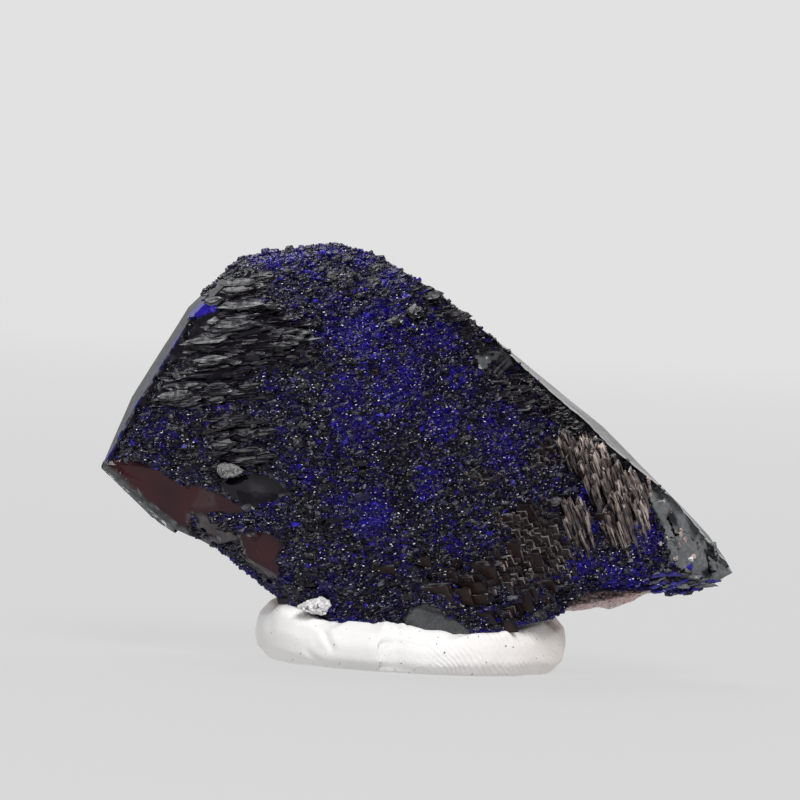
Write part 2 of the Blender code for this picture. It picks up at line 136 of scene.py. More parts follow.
SLATE = (
    (22.8, 19.8), (24.1, 19.0), (25.7, 17.9), (27.6, 15.9), (28.9, 14.5), (29.9, 13.6), (32.0, 10.9),
    (30.1, 9.9), (28.5, 10.5), (27.5, 10.8), (26.1, 11.3), (25.2, 12.3), (24.7, 13.9), (24.2, 15.6),
    (23.2, 17.0), (22.6, 18.4),
)
TIP_STREAKS = ((22.6, 10.2), (25.0, 11.2), (27.6, 10.6), (29.8, 10.0), (29.0, 9.2), (26.6, 8.9), (23.6, 9.0))
UNDER_RIM = (
    (8.8, 31.2), (12.0, 28.6), (16.5, 25.2), (19.2, 22.7), (22.6, 20.1), (21.6, 20.7), (20.1, 21.7),
    (18.5, 22.4), (16.5, 23.6), (14.2, 24.2), (13.2, 25.4), (11.5, 27.0),
)
# Brown-grey ground between the two cleavages, half under crust: its brown is a painted red-brown reflection.
PATCHY = (
    (-22.9, 14.4), (-20.5, 14.2), (-18.3, 13.6), (-17.4, 12.4), (-17.6, 10.9), (-18.8, 10.6), (-20.6, 11.6),
    (-22.6, 12.4),
)
SLOTS = (
    ((22.5, 18.1), (23.4, 17.0), (23.8, 16.0), (22.6, 15.8), (22.3, 16.5)),
    ((25.3, 17.1), (25.8, 16.3), (26.1, 15.1), (25.0, 15.9), (24.8, 16.6)),
    ((28.6, 11.0), (29.6, 11.9), (29.8, 10.4), (28.9, 10.4)),
)
BARE_SHAPES = (
    CLEAVAGE, LOW_CLEAVAGE, UNDER_CLEAVAGE, SHELL, GREY_LEAF, TOP_FACET, SIDE_FACET, DARK_FACET, BLUE_FACET,
    SLATE, UNDER_RIM,
)

# Strengths by patch as (middle, radius or half sizes, strength). Blue crystals of the crust, and crystals with
# a painted glow.
BLUE_PATCHES = (
    ((-5.6, 33.0), 5.4, 0.8), ((-9.4, 33.4), 2.2, 0.8), ((-3.0, 28.4), 4.4, 0.8), ((1.6, 33.6), 2.8, 0.7),
    ((-6.4, 23.4), 3.0, 0.75), ((2.2, 25.4), 2.8, 0.7), ((7.4, 25.0), 2.8, 0.6), ((8.2, 22.0), 2.6, 0.6),
    ((-4.6, 15.2), 3.0, 1.0), ((1.0, 18.6), 2.4, 0.7), ((-1.6, 11.6), 2.6, 0.45), ((-7.4, 27.0), 3.6, 0.6),
    ((16.4, 18.2), 1.0, 1.0), ((17.4, 15.0), 0.8, 0.8), ((23.0, 14.4), 1.8, 0.9), ((16.0, 11.3), 2.2, 0.85),
    ((20.6, 10.4), 3.2, 0.9), ((-15.8, 39.8), 1.4, 1.1), ((-14.4, 8.0), 2.2, 0.7), ((-26.0, 22.8), 2.6, 0.2),
    ((-8.6, 7.0), 2.8, 0.5), ((4.4, 12.6), 2.0, 0.45), ((-11.4, 37.0), 3.0, 0.3), ((3.1, 29.3), 1.8, 0.9),
    ((-12.0, 19.0), 3.0, 0.4), ((-20.5, 26.2), 2.6, 0.15), ((-9.0, 41.0), 2.6, 0.4),
    ((-16.9, 40.0), 1.8, 1.2), ((-13.4, 40.4), 1.6, 0.9), ((-7.0, 40.4), 1.8, 0.8), ((-4.0, 38.6), 1.8, 0.7),
    ((-2.4, 38.2), 1.0, 1.2), ((-22.5, 27.0), 3.0, 0.15), ((-8.0, 16.6), 2.4, 0.5), ((-16.0, 8.6), 1.4, 1.0),
)
GLOW_PATCHES = (
    ((-5.7, 24.0), 1.2, 0.6), ((-7.4, 22.6), 0.6, 0.6), ((-11.0, 41.2), 0.8, 1.0), ((2.4, 24.4), 0.7, 0.5),
    ((-4.4, 12.3), 0.6, 0.9), ((-4.6, 15.4), 1.6, 0.6), ((16.5, 18.1), 0.7, 0.9), ((20.4, 10.2), 1.6, 0.5),
    ((-4.3, 27.3), 1.2, 0.5), ((3.1, 29.3), 0.9, 0.45), ((-6.0, 33.0), 2.4, 0.3), ((23.2, 13.0), 0.9, 0.5),
    ((-12.6, 8.6), 0.9, 0.4), ((-1.0, 30.4), 2.2, 0.25), ((7.8, 23.6), 1.6, 0.3), ((-15.8, 39.8), 1.1, 0.9),
    ((-2.4, 37.0), 0.6, 1.5), ((-1.0, 38.4), 0.45, 1.2), ((0.7, 35.7), 0.7, 1.3), ((-2.8, 32.4), 0.4, 1.1),
    ((-24.9, 31.7), 0.5, 1.2), ((-26.9, 28.9), 0.4, 1.1), ((-13.6, 20.8), 0.4, 1.0),
    ((-26.0, 20.0), 0.4, 0.9),
)
# Fewer grey crystals.
DARK_PATCHES = (
    ((-6.0, 18.0), (7.0, 5.5), 1.0), ((-2.0, 10.0), (7.0, 3.5), 0.8), ((-24.0, 22.5), (5.0, 3.5), 1.0),
)
# More of the painted glints, the tiny pale faces of the crust.
GLINT_PATCHES = (
    ((19.0, 9.6), 5.5, 1.0), ((-6.0, 33.0), 4.0, 0.3), ((-18.0, 38.8), 4.0, 0.8), ((-26.0, 20.6), 3.4, 0.3),
)
# Strength of the painted red-brown reflection and of the slate grey on smooth facets.
RED_REFLECTION_SHAPES = ((CLEAVAGE, 1.0), (LOW_CLEAVAGE, 0.9), (UNDER_CLEAVAGE, 0.95), (PATCHY, 0.5))
# Under the pale rim the strong slate grey is painted light, over a stripe that lies in shade.
SLATE_SHAPES = (
    (GREY_LEAF, 0.46), (SLATE, 0.85), (UNDER_RIM, 1.3), (PATCHY, 0.3),
    (((-21.6, 16.9), (-20.4, 17.0), (-19.9, 15.1), (-22.4, 14.9)), 0.1),
    (((-16.9, 17.9), (-15.4, 17.6), (-14.8, 16.6), (-16.4, 16.6)), 0.12),
)
CRISP_SHAPES = (
    (TOP_FACET, 0.46), (((7.9, 31.9), (8.1, 31.7), (6.1, 29.7), (5.9, 29.8)), 0.12),
    (((8.2, 31.6), (8.4, 31.4), (6.8, 29.7), (6.6, 29.7)), 0.35),
    (((8.5, 31.4), (8.9, 31.1), (7.7, 29.9), (7.3, 29.8)), 0.3),
)

# Ledges that stand out: x and z of the middle, length along ROW, height that shows, and paleness, which sets
# the strength of their painted highlights.
BIG_LEDGES = (
    (-21.3, 35.6, 1.9, 0.4, 1.2), (-18.3, 35.3, 4.6, 0.3, 1.2), (-18.4, 34.2, 3.7, 0.3, 1.4),
    (-21.1, 33.6, 1.2, 0.3, 0.9), (-19.2, 33.1, 6.8, 0.9, 0.45), (-20.7, 32.3, 4.0, 0.5, 0.5),
    (-21.8, 31.5, 5.3, 0.8, 0.95), (-19.1, 30.4, 1.4, 0.3, 0.7), (-18.7, 29.8, 1.2, 0.4, 0.6),
    (-21.3, 29.6, 4.1, 0.5, 0.95), (-21.2, 29.0, 4.6, 0.3, 0.95), (-23.6, 27.0, 4.4, 0.7, 0.9),
    (-24.4, 25.9, 4.9, 0.8, 0.95), (-20.5, 27.2, 2.6, 0.3, 0.75), (-17.3, 27.3, 2.2, 0.5, 0.7),
    (-20.6, 26.0, 2.6, 0.4, 0.75), (-19.0, 24.1, 4.3, 0.3, 0.7), (-19.5, 23.4, 2.6, 0.4, 0.45),
    (-19.7, 22.6, 2.8, 0.6, 1.1), (-17.4, 22.9, 1.6, 0.3, 1.2), (-19.4, 21.4, 2.7, 0.6, 1.0),
    (-16.9, 21.5, 2.0, 0.4, 0.7), (-17.6, 20.2, 3.6, 0.5, 0.9), (-17.4, 19.6, 4.8, 0.5, 0.6),
    (-19.9, 38.1, 1.8, 0.5, 1.2), (-18.8, 37.4, 3.2, 0.4, 0.7), (-19.1, 36.7, 3.5, 0.5, 0.6),
    (-23.0, 20.2, 2.4, 0.3, 0.5), (-24.2, 23.0, 2.2, 0.3, 0.5), (-1.2, 35.6, 1.8, 0.8, 0.35),
    (-3.2, 34.6, 1.6, 0.6, 0.3), (3.0, 35.4, 2.6, 0.5, 0.3), (0.6, 37.2, 2.0, 0.6, 0.3),
    (-5.6, 38.2, 1.6, 0.6, 0.25), (-9.6, 38.6, 1.4, 0.6, 0.25), (9.2, 28.4, 3.4, 0.4, 0.4),
    (8.6, 27.4, 3.0, 0.4, 0.4), (9.6, 26.8, 2.4, 0.3, 0.4), (10.3, 20.8, 1.4, 0.4, 0.6),
    (13.6, 17.6, 1.2, 0.4, 0.6),
)
# Flats among the crust: x and z of the middle, width along ROW and height along COLUMN.
BIG_FLATS = (
    (9.7, 12.1, 1.7, 3.5), (9.3, 14.0, 1.1, 1.0), (9.0, 14.9, 1.1, 1.4), (10.7, 16.2, 1.6, 2.6),
    (15.0, 16.4, 1.4, 2.8), (11.6, 11.3, 2.0, 2.5), (12.9, 9.3, 2.1, 1.5), (12.9, 8.0, 2.0, 1.4),
    (6.7, 10.0, 2.7, 2.9), (10.3, 7.6, 2.6, 2.2), (5.8, 12.1, 0.9, 1.8), (8.5, 15.6, 1.7, 0.9),
    (11.5, 13.6, 1.3, 1.1), (18.8, 15.4, 1.8, 3.2), (21.2, 16.0, 1.7, 1.5), (-3.5, 10.0, 3.0, 1.0),
    (2.2, 7.8, 3.2, 2.6), (12.6, 22.2, 1.4, 1.6), (5.6, 19.4, 1.2, 0.6), (3.4, 9.8, 1.4, 1.2),
)
# Single crystals that stand out: middle, size along ROW, COLUMN and FACE, and shares of blue, painted red-brown
# reflection, painted glow and grey.
SINGLE_CRYSTALS = (
    ((-21.3, 34.7), (0.5, 0.5, 0.6), (1.0, 0.0, 1.3, 0.0)),
    ((-2.5, 36.9), (0.6, 0.5, 0.5), (1.0, 0.0, 0.8, 0.2)),
    ((0.9, 35.6), (0.7, 0.3, 0.4), (1.0, 0.0, 0.8, 0.2)),
    ((-4.2, 25.2), (0.6, 0.4, 0.5), (1.0, 0.0, 0.9, 0.2)),
    ((29.7, 13.0), (0.6, 1.9, 0.9), (0.0, 0.0, 0.0, 0.0)),
    ((-16.95, 15.25), (1.0, 0.5, 0.5), (0.1, 0.0, 0.0, 0.3)),
    ((27.3, 11.5), (0.6, 0.4, 0.5), (1.0, 0.0, 0.6, 0.1)),
)
# Spots on the slate, the coppery and cream ones painted highlights and the palest a white crystal: x and z
# of the middle, width, height and paleness.
SPOTS = (
    (22.7, 20.0, 0.34, 0.7, 0.8), (22.9, 19.2, 0.3, 0.9, 0.9), (23.1, 18.4, 0.26, 0.8, 0.7),
    (22.4, 18.9, 0.2, 0.7, 0.6), (26.4, 14.9, 0.34, 0.8, 0.8), (26.7, 14.1, 0.3, 0.7, 0.9),
    (26.3, 13.7, 0.2, 0.5, 0.6), (25.9, 12.4, 0.4, 0.5, 0.8), (24.3, 13.8, 0.4, 0.5, 0.7),
    (25.2, 17.0, 0.2, 0.4, 0.5), (28.2, 13.6, 0.18, 0.4, 0.5), (27.6, 12.4, 0.7, 0.6, 1.6),
    (10.6, 28.9, 0.3, 0.5, 0.7), (10.9, 28.2, 0.2, 0.6, 0.6), (12.1, 27.2, 0.4, 0.3, 0.7),
    (12.6, 27.3, 0.2, 0.4, 0.6), (13.6, 26.2, 0.4, 0.2, 0.6), (14.9, 25.0, 0.3, 0.4, 0.8),
    (15.6, 24.5, 0.3, 0.5, 0.8), (16.3, 24.1, 0.4, 0.4, 0.9), (12.9, 26.3, 0.2, 0.4, 0.5),
    (14.2, 25.4, 0.3, 0.2, 0.6), (17.2, 23.9, 0.3, 0.5, 0.8), (18.2, 23.1, 0.24, 0.4, 0.7),
)

# Lines across the front: the edge that stays smooth at the left, the outline at three corners, the edge and
# the back of the right rim, and the lower edge with its violet crust.
SMOOTH_EDGES = ((-31.4, 18.7), (-28.7, 24.4), (-24.4, 32.2))
TOP_LEFT = ((-23.4, 35.3), (-22.2, 36.8), (-20.8, 38.3), (-18.4, 40.9))
LOWER_LEFT = (
    (-31.9, 18.6), (-27.7, 15.3), (-23.9, 12.6), (-22.3, 12.0), (-19.5, 10.8), (-17.1, 8.9), (-15.2, 7.6),
    (-13.8, 6.6),
)
LOWER_RIGHT = ((14.4, 6.3), (15.65, 7.5), (17.1, 8.5), (18.6, 8.8), (22.6, 9.0), (25.0, 9.2))
RIM_EDGE = ((-2.5, 38.5), (5.0, 32.8), (15.5, 24.5), (18.5, 21.9), (23.0, 18.0), (30.5, 11.7))
PALE_RIM = (
    (-5.7, 41.2), (-4.0, 40.4), (-2.4, 39.2), (-0.8, 38.9), (0.9, 37.7), (2.6, 36.6), (4.2, 35.6),
    (5.9, 34.0), (7.7, 32.4), (8.9, 31.3), (10.7, 29.8), (13.6, 27.5), (16.5, 25.3), (19.2, 22.8),
    (21.8, 20.9), (24.4, 19.0), (25.6, 18.0), (34.0, 9.0),
)
# Straight in from the right rim, as x and z.
INWARD = (-0.625, -0.78)
VIOLET_EDGE = (
    (-19.5, 10.8), (-17.1, 8.9), (-13.8, 6.6), (-10.2, 4.9), (-6.0, 4.6), (4.0, 4.3), (7.0, 4.2), (9.6, 4.9),
    (14.0, 6.0), (17.0, 7.8), (20.4, 8.4), (24.0, 8.9), (28.6, 9.6),
)
VIOLET_DRUSE = ((-18.9, 10.7), (-16.9, 9.2), (-15.0, 7.9), (-12.9, 6.7), (-10.6, 5.5))
# The putty: the line of its lip in front, the seam of its rolled ends, and creases.
LIP = (
    (-13.8, 6.6), (-12.3, 6.0), (-10.8, 5.3), (-9.4, 4.7), (-8.2, 4.6), (-7.7, 4.8), (-3.7, 4.8), (-2.7, 5.1),
    (-2.0, 5.2), (-1.0, 5.1), (0.0, 4.8), (1.3, 4.4), (2.8, 4.4), (4.3, 4.25), (5.8, 4.25), (7.3, 4.35),
    (8.8, 4.6), (10.8, 5.0), (12.7, 5.6),
)
SEAM = -3.1
CREASES = (((-9.0, 4.3), (-8.5, 3.4), (-7.7, 2.1)), ((-10.0, 1.3), (-9.1, 0.8), (-8.3, 0.1)))

# Where the crust thins out towards the tip, and where it may grow on faces that look left or up.
TIP_START = 26.0
LEFT_SIDE = -18.0
CREST = 36.5
# The lowest that a face's normal may point where crust grows.
OVERHANG = -0.85


# ---------------------------------------------------------------- settings


def colour_setting(name, description, *rgb):
    return FloatVectorProperty(name=name, description=description, subtype="COLOR", size=4, min=0, max=1,
                               default=(*rgb, 1.0))


def length_setting(name, description, default, low, high):
    """A length, given in millimetres."""
    return FloatProperty(name=name, description=description, default=default * MM, min=low * MM,
                         max=high * MM, precision=5, unit="LENGTH")


def power_setting(name, description, default):
    return FloatProperty(name=name, description=description, default=default, min=0, unit="POWER")


class FluoriteSettings(PropertyGroup):
    crystal: length_setting("Crystal size", "Middling edge of a crust crystal", 0.2, 0.1, 3)
    spacing: length_setting("Crust spacing", "Distance between crust crystals", 0.2, 0.15, 3)
    tilt: FloatProperty(name="Crust tilt", description="How far crust crystals lean out of the lattice",
                        default=math.radians(30), min=0, max=math.radians(90), subtype="ANGLE")
    body: colour_setting("Body colour", "Colour deep in the fluorite", 0.007, 0.0055, 0.009)
    blue: colour_setting("Blue", "Colour of crystals that let light through", 0.012, 0.003, 0.28)
    # Painted red-brown reflection, laid on the flat cleavages.
    cleavage_reflection: colour_setting("Cleavage brown", "Colour behind the flat cleavages", 0.034, 0.008, 0.010)
    # Painted warm brown reflection on faces that look along FACE, as on the flats low on the front.
    flat_reflection: colour_setting("Umber", "Colour of the flats low on the front", 0.022, 0.012, 0.010)
    slate: colour_setting("Slate grey", "Colour of the dull smooth faces", 0.15, 0.155, 0.16)
    # Painted pale highlight on faces that look along the level treads.
    tread_highlight: colour_setting("Frosted treads", "Colour of the streaky level treads", 0.19, 0.19, 0.195)
    # Painted warm coppery highlight on ends that look along the rows.
    warm_highlight: colour_setting("Bronze ends", "Colour of the streaky ends that look right", 0.52, 0.42, 0.38)
    seed: IntProperty(name="Seed", description="Chooses another arrangement of crystals", default=27)


class QuartzSettings(PropertyGroup):
    pink: colour_setting("Pink quartz", "Colour of the matrix", 0.62, 0.42, 0.40)
    white: colour_setting("White quartz", "Colour of the two grains", 0.78, 0.76, 0.76)
    grain: length_setting("Grain", "Size of the quartz's sugary grains", 0.42, 0.05, 3)


class PuttySettings(PropertyGroup):
    colour: colour_setting("Putty colour", "Colour of the putty", 0.94, 0.93, 0.92)
    # Painted warm light at the right end of the putty.
    painted_warm_light: colour_setting("Blush", "Warmer colour at the right end", 0.86, 0.80, 0.765)
    ridge: length_setting("Fingerprint spacing", "Distance between fingerprint ridges", 0.47, 0.1, 2)


class StageSettings(PropertyGroup):
    paper: colour_setting("Backdrop", "Colour of floor and backdrop", 0.05, 0.05, 0.05)
    top_light: power_setting("Top light", "Power of the softbox above", 8.2)
    front_light: power_setting("Front light", "Power of the lamp in front", 12.5)
    warm_light: power_setting("Warm light", "Power of the warm card at the right", 0.7)
    sparks: power_setting("Sparks", "Power of the two small lamps that make the crust sparkle", 1.3)
    lens: FloatProperty(name="Focal length", description="Focal length of the camera", default=300, min=10,
                        unit="CAMERA")
    roll: FloatProperty(name="Camera roll", description="Roll of the camera", default=math.radians(3.0),
                        subtype="ANGLE")
    elevation: FloatProperty(name="Camera elevation", description="How far the camera looks down",
                             default=math.radians(1.5), subtype="ANGLE")


def settings():
    return bpy.context.scene.mineral


# ---------------------------------------------------------------- shader nodes


class Wire:
    """A shader output that takes part in arithmetic: each operation adds a Math node."""

    def __init__(self, finish, socket):
        self.finish, self.socket = finish, socket

    def math(self, operation, *values):
        return self.finish.node("ShaderNodeMath", {"operation": operation}, dict(enumerate(values)))

    def __add__(self, other):
        return self.math("ADD", self, other)

    def __sub__(self, other):
        return self.math("SUBTRACT", self, other)

    def __mul__(self, other):
        return self.math("MULTIPLY", self, other)

    def __truediv__(self, other):
        return self.math("DIVIDE", self, other)

    __radd__ = __add__
    __rmul__ = __mul__

    def rise(self, low, high):
        """0 below low, 1 above high, smooth between."""
        values = {"Value": self, "From Min": low, "From Max": high}
        return self.finish.node("ShaderNodeMapRange", {"interpolation_type": "SMOOTHSTEP"}, values)


class Finish:
    """A material and the nodes that make it."""

    def __init__(self, name, **constants):
        self.material = bpy.data.materials.new(name)
        self.material.use_nodes = True
        self.tree = self.material.node_tree
        self.shader = self.tree.nodes["Principled BSDF"]
        for socket, value in constants.items():
            self.shader.inputs[socket.replace("_", " ")].default_value = value

    def node(self, kind, options=None, sockets=None, output=0):
        made = self.tree.nodes.new(kind)
        for name, value in (options or {}).items():
            setattr(made, name, value)
        for name, value in (sockets or {}).items():
            self.feed(made.inputs[name], value)
        return Wire(self, made.outputs[output])

    def feed(self, socket, value):
        if isinstance(value, Wire):
            self.tree.links.new(value.socket, socket)
        else:
            socket.default_value = value

    def set(self, socket, value):
        self.feed(self.shader.inputs[socket], value)

    def place(self):
        return self.node("ShaderNodeTexCoord", output="Object")

    def normal(self):
        return self.node("ShaderNodeNewGeometry", output="Normal")

    def attribute(self, name):
        """The red, green, blue and alpha parts of a colour attribute."""
        colour = self.node("ShaderNodeAttribute", {"attribute_name": name}, output="Color")
        alpha = self.node("ShaderNodeAttribute", {"attribute_name": name}, output="Alpha")
        parts = [self.node("ShaderNodeSeparateColor", sockets={"Color": colour}, output=i) for i in range(3)]
        return [*parts, alpha]

    def coordinates(self, place):
        return [self.node("ShaderNodeSeparateXYZ", sockets={0: place}, output=i) for i in range(3)]

    def vector(self, operation, *values, output=0):
        return self.node("ShaderNodeVectorMath", {"operation": operation}, dict(enumerate(values)), output)

    def along(self, vector, axis):
        return self.vector("DOT_PRODUCT", vector, tuple(axis), output="Value")

    def scaled(self, vector, factor):
        return self.node("ShaderNodeVectorMath", {"operation": "SCALE"}, {0: vector, "Scale": factor})

    def mix(self, factor, low, high):
        """A colour between two colours."""
        return self.node("ShaderNodeMix", {"data_type": "RGBA"}, {0: factor, 6: low, 7: high}, output=2)

    def noise(self, place, size, detail=2.0):
        values = {"Vector": place, "Scale": 1.0 / size, "Detail": detail}
        return self.node("ShaderNodeTexNoise", sockets=values)

    def cells(self, place, size, output="Distance"):
        values = {"Vector": place, "Scale": 1.0 / size}
        return self.node("ShaderNodeTexVoronoi", sockets=values, output=output)

    def bump(self, height, depth, normal=None):
        """A bump whose height of 1 stands for depth metres."""
        values = {"Height": height, "Distance": depth}
        if normal:
            values["Normal"] = normal
        return self.node("ShaderNodeBump", sockets=values)

    def faceted(self, place, size, lean):
        """A normal that leans a random way in each small cell, like a surface of tiny crystal faces."""
        random_lean = self.vector("SUBTRACT", self.cells(place, size, "Color"), (0.5, 0.5, 0.5))
        leaning = self.vector("ADD", self.normal(), self.scaled(random_lean, lean))
        return self.vector("NORMALIZE", leaning)

    def lattice_place(self, place, stretch):
        """Coordinates along the crystal axes, each divided by its stretch."""
        parts = [self.along(place, axis / share) for axis, share in zip((ROW, COLUMN, FACE), stretch)]
        return self.node("ShaderNodeCombineXYZ", sockets=dict(enumerate(parts)))


# ---------------------------------------------------------------- mesh helpers


def deselect():
    if bpy.context.object and bpy.context.object.mode != "OBJECT":
        bpy.ops.object.mode_set(mode="OBJECT")
    bpy.ops.object.select_all(action="DESELECT")


def take(obj):
    """Makes an object the only one selected, and active."""
    deselect()
    obj.select_set(True)
    bpy.context.view_layer.objects.active = obj
    return obj


def edit_mode(on):
    bpy.ops.object.mode_set(mode="EDIT" if on else "OBJECT")


def select_mesh(action):
    bpy.ops.mesh.select_all(action=action)


def linked(name, data):
    """A new object, in the scene."""
    obj = bpy.data.objects.new(name, data)
    bpy.context.scene.collection.objects.link(obj)
    return obj


def copy_of(node, name):
    """A copy of a CAD node with its loose triangles merged."""
    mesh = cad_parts[node].data.copy()
    mesh.name = name
    mesh.materials.clear()
    obj = take(linked(name, mesh))
    edit_mode(True)
    select_mesh("SELECT")
    bpy.ops.mesh.remove_doubles(threshold=1e-6)
    edit_mode(False)
    for layer in ("custom_normal", "sharp_edge"):
        if layer in mesh.attributes:
            mesh.attributes.remove(mesh.attributes[layer])
    return obj


def apply_modifier(obj, kind, **values):
    take(obj)
    modifier = obj.modifiers.new(kind.title(), kind)
    for name, value in values.items():
        setattr(modifier, name, value)
    bpy.ops.object.modifier_apply(modifier=modifier.name)


def refine(obj, longest, rounds, near=None):
    """Halves the edges that are longer than a length, round by round. near picks them by x, y and z in
    millimetres."""
    take(obj)
    edit_mode(True)
    bpy.ops.mesh.select_mode(type="EDGE")
    for _ in range(rounds):
        select_mesh("DESELECT")
        bm = bmesh.from_edit_mesh(obj.data)
        long_edges = [e for e in bm.edges if e.calc_length() > longest]
        if near:
            middles = [(e.verts[0].co + e.verts[1].co) / (2 * MM) for e in long_edges]
            close = near(*np.array(middles).reshape(-1, 3).T)
            long_edges = [e for e, wanted in zip(long_edges, close) if wanted]
        for edge in long_edges:
            edge.select_set(True)
        bmesh.update_edit_mesh(obj.data)
        if not long_edges:
            break
        bpy.ops.mesh.subdivide(number_cuts=1)
        select_mesh("SELECT")
        bpy.ops.mesh.quads_convert_to_tris()
    edit_mode(False)


def roughen(obj, name, size, strength, middle=0.5, depth=2):
    """Pushes a surface in and out along its normals by cloud noise."""
    texture = bpy.data.textures.new(name, "CLOUDS")
    texture.noise_scale, texture.noise_depth = size, depth
    apply_modifier(obj, "DISPLACE", texture=texture, strength=strength, mid_level=middle,
                   texture_coords="LOCAL")


def settle(obj, slot, finish, *nodes):
    """Gives a finished piece its material and body, and hides the CAD nodes that it stands for. The slot is not
    used.
    """
    obj.data.materials.clear()
    obj.data.materials.append(finish)
    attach(obj, "root")
    if nodes:
        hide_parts(*nodes)
    return obj


def points_of(mesh):
    found = np.empty(len(mesh.vertices) * 3)
    mesh.vertices.foreach_get("co", found)
    return found.reshape(-1, 3)


def move_points(mesh, points):
    mesh.vertices.foreach_set("co", points.astype(np.float32).ravel())
    mesh.update()


def normals_of(mesh):
    found = np.empty(len(mesh.vertices) * 3, np.float32)
    mesh.vertex_normals.foreach_get("vector", found)
    return found.reshape(-1, 3)


def paint(mesh, name, values):
    """A colour attribute on the points, from an array of four columns."""
    attribute = mesh.color_attributes.new(name, "FLOAT_COLOR", "POINT")
    attribute.data.foreach_set("color", values.astype(np.float32).ravel())


def tree_of(node):
    """A search tree over a CAD node."""
    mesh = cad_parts[node].data
    faces = [list(p.vertices) for p in mesh.polygons]
    return BVHTree.FromPolygons([v.co.copy() for v in mesh.vertices], faces)


def kept(mask, *arrays):
    """The rows of each array where the mask holds."""
    return [array[mask] for array in arrays]


# ---------------------------------------------------------------- growing crystals


def unit(values):
    """Values held between 0 and 1."""
    return np.clip(values, 0, 1)


def strength_at(x, z, patches, softness=0.35):
    """Strength of the strongest patch at each place."""
    best = np.zeros(len(x))
    for middle, radius, strength in patches:
        across, up = np.broadcast_to(radius, 2)
        depth = (1.0 - np.hypot((x - middle[0]) / across, (z - middle[1]) / up)) / softness
        best = np.maximum(best, strength * unit(depth))
    return best


def wander(x, z, size, layer):
    """Smooth noise from about -1 to 1 over the front, size in millimetres, another pattern for each layer."""
    return np.array([noise.noise((a / size, b / size, layer)) for a, b in zip(x, z)])


def distance_to(x, z, line):
    """Distance in millimetres from places to a polyline."""
    best = np.full(len(x), np.inf)
    for (ax, az), (bx, bz) in zip(line, line[1:]):
        dx, dz = bx - ax, bz - az
        share = unit(((x - ax) * dx + (z - az) * dz) / (dx * dx + dz * dz))
        best = np.minimum(best, np.hypot(x - ax - share * dx, z - az - share * dz))
    return best


def inside_shape(x, z, outline):
    """Distance in millimetres inside an outline, less than 0 outside it."""
    inside = np.zeros(len(x), bool)
    for (ax, az), (bx, bz) in zip(outline, outline[1:] + outline[:1]):
        if az != bz:
            inside ^= ((az > z) != (bz > z)) & (x < (bx - ax) * (z - az) / (bz - az) + ax)
    return distance_to(x, z, outline + outline[:1]) * np.where(inside, 1, -1)


def shaped(x, z, shapes, blur=0.3):
    """Strength of the strongest shape at each place, from pairs of outline and strength."""
    return np.maximum.reduce([
        strength * unit(0.5 + inside_shape(x, z, outline) / blur) for outline, strength in shapes])


class Front:
    """The fluorite's front, met by rays along Y, with its large shape kept apart from its blocks. The large
    shape is a grid of depths, blurred: its step, lowest place and blur are in millimetres."""

    STEP = 0.4
    LOW = (-34.0, 1.0)
    CELLS = (171, 108)
    BLUR = 1.1
    RAY_START = -0.06

    def __init__(self):
        self.tree = tree_of("fluorite")
        places = (low + self.STEP * np.arange(count) for low, count in zip(self.LOW, self.CELLS))
        x, z = np.meshgrid(*places, indexing="ij")
        hits, _, found = self.cast(x.ravel(), z.ravel())
        depth = np.where(found, hits[:, 1], 0).reshape(x.shape)
        weight = found.reshape(x.shape).astype(float)
        cells_away = np.arange(-9, 10)
        kernel = np.exp(-0.5 * (cells_away * self.STEP / self.BLUR) ** 2)
        for axis in (0, 1):
            depth, weight = (
                np.apply_along_axis(np.convolve, axis, grid, kernel, "same") for grid in (depth, weight))
        self.depth = depth / np.maximum(weight, 1e-9)

    def cast(self, x, z):
        """Hits and normals for places in millimetres, as arrays in metres, with a mask of the places that
        hit. Between the rim's edge and the pale rim the front runs on from inside the edge."""
        hits, normals = np.zeros((len(x), 3)), np.zeros((len(x), 3))
        found = np.zeros(len(x), bool)
        for i, (a, b, inward) in enumerate(zip(x, z, beyond_edge(x, z))):
            place, normal = self.meet(a, b)
            if place is not None and inward > 0:
                _, normal = near = self.meet(a + INWARD[0] * inward, b + INWARD[1] * inward)
                place = Vector((a * MM, near[0].y - 0.6 * inward * MM, b * MM)) if near[0] else None
            if place is not None:
                hits[i], normals[i], found[i] = place, normal, True
        return hits, normals, found

    def direct(self, x, z):
        """Depth in millimetres where the front is first met."""
        places = [self.meet(a, b)[0] for a, b in zip(x, z)]
        return np.array([1e3 if place is None else place.y / MM for place in places])

    def meet(self, x, z):
        return self.tree.ray_cast(Vector((x * MM, self.RAY_START, z * MM)), Vector((0, 1, 0)))[:2]

    def large_shape(self, x, z):
        """Depth of the front without its blocks, in metres, at places in millimetres."""
        across = np.clip((x - self.LOW[0]) / self.STEP, 0, self.CELLS[0] - 1.001)
        up = np.clip((z - self.LOW[1]) / self.STEP, 0, self.CELLS[1] - 1.001)
        i, j = across.astype(int), up.astype(int)
        a, b = across - i, up - j
        grid = self.depth
        return ((grid[i, j] * (1 - a) + grid[i + 1, j] * a) * (1 - b)
                + (grid[i, j + 1] * (1 - a) + grid[i + 1, j + 1] * a) * b)


def below(x, z, line):
    """Distance in millimetres below a line that falls to the right, less than 0 above it."""
    line_x, line_z = zip(*line)
    inside = z < np.interp(x, line_x, line_z)
    return np.where(x < line_x[0], FAR, distance_to(x, z, line) * np.where(inside, 1, -1))


def above(x, z, line):
    """How far in millimetres a place lies above a line, FAR where the line doesn't reach."""
    line_x, line_z = zip(*line)
    reached = (x >= line_x[0]) & (x <= line_x[-1])
    return np.where(reached, z - np.interp(x, line_x, line_z), FAR)


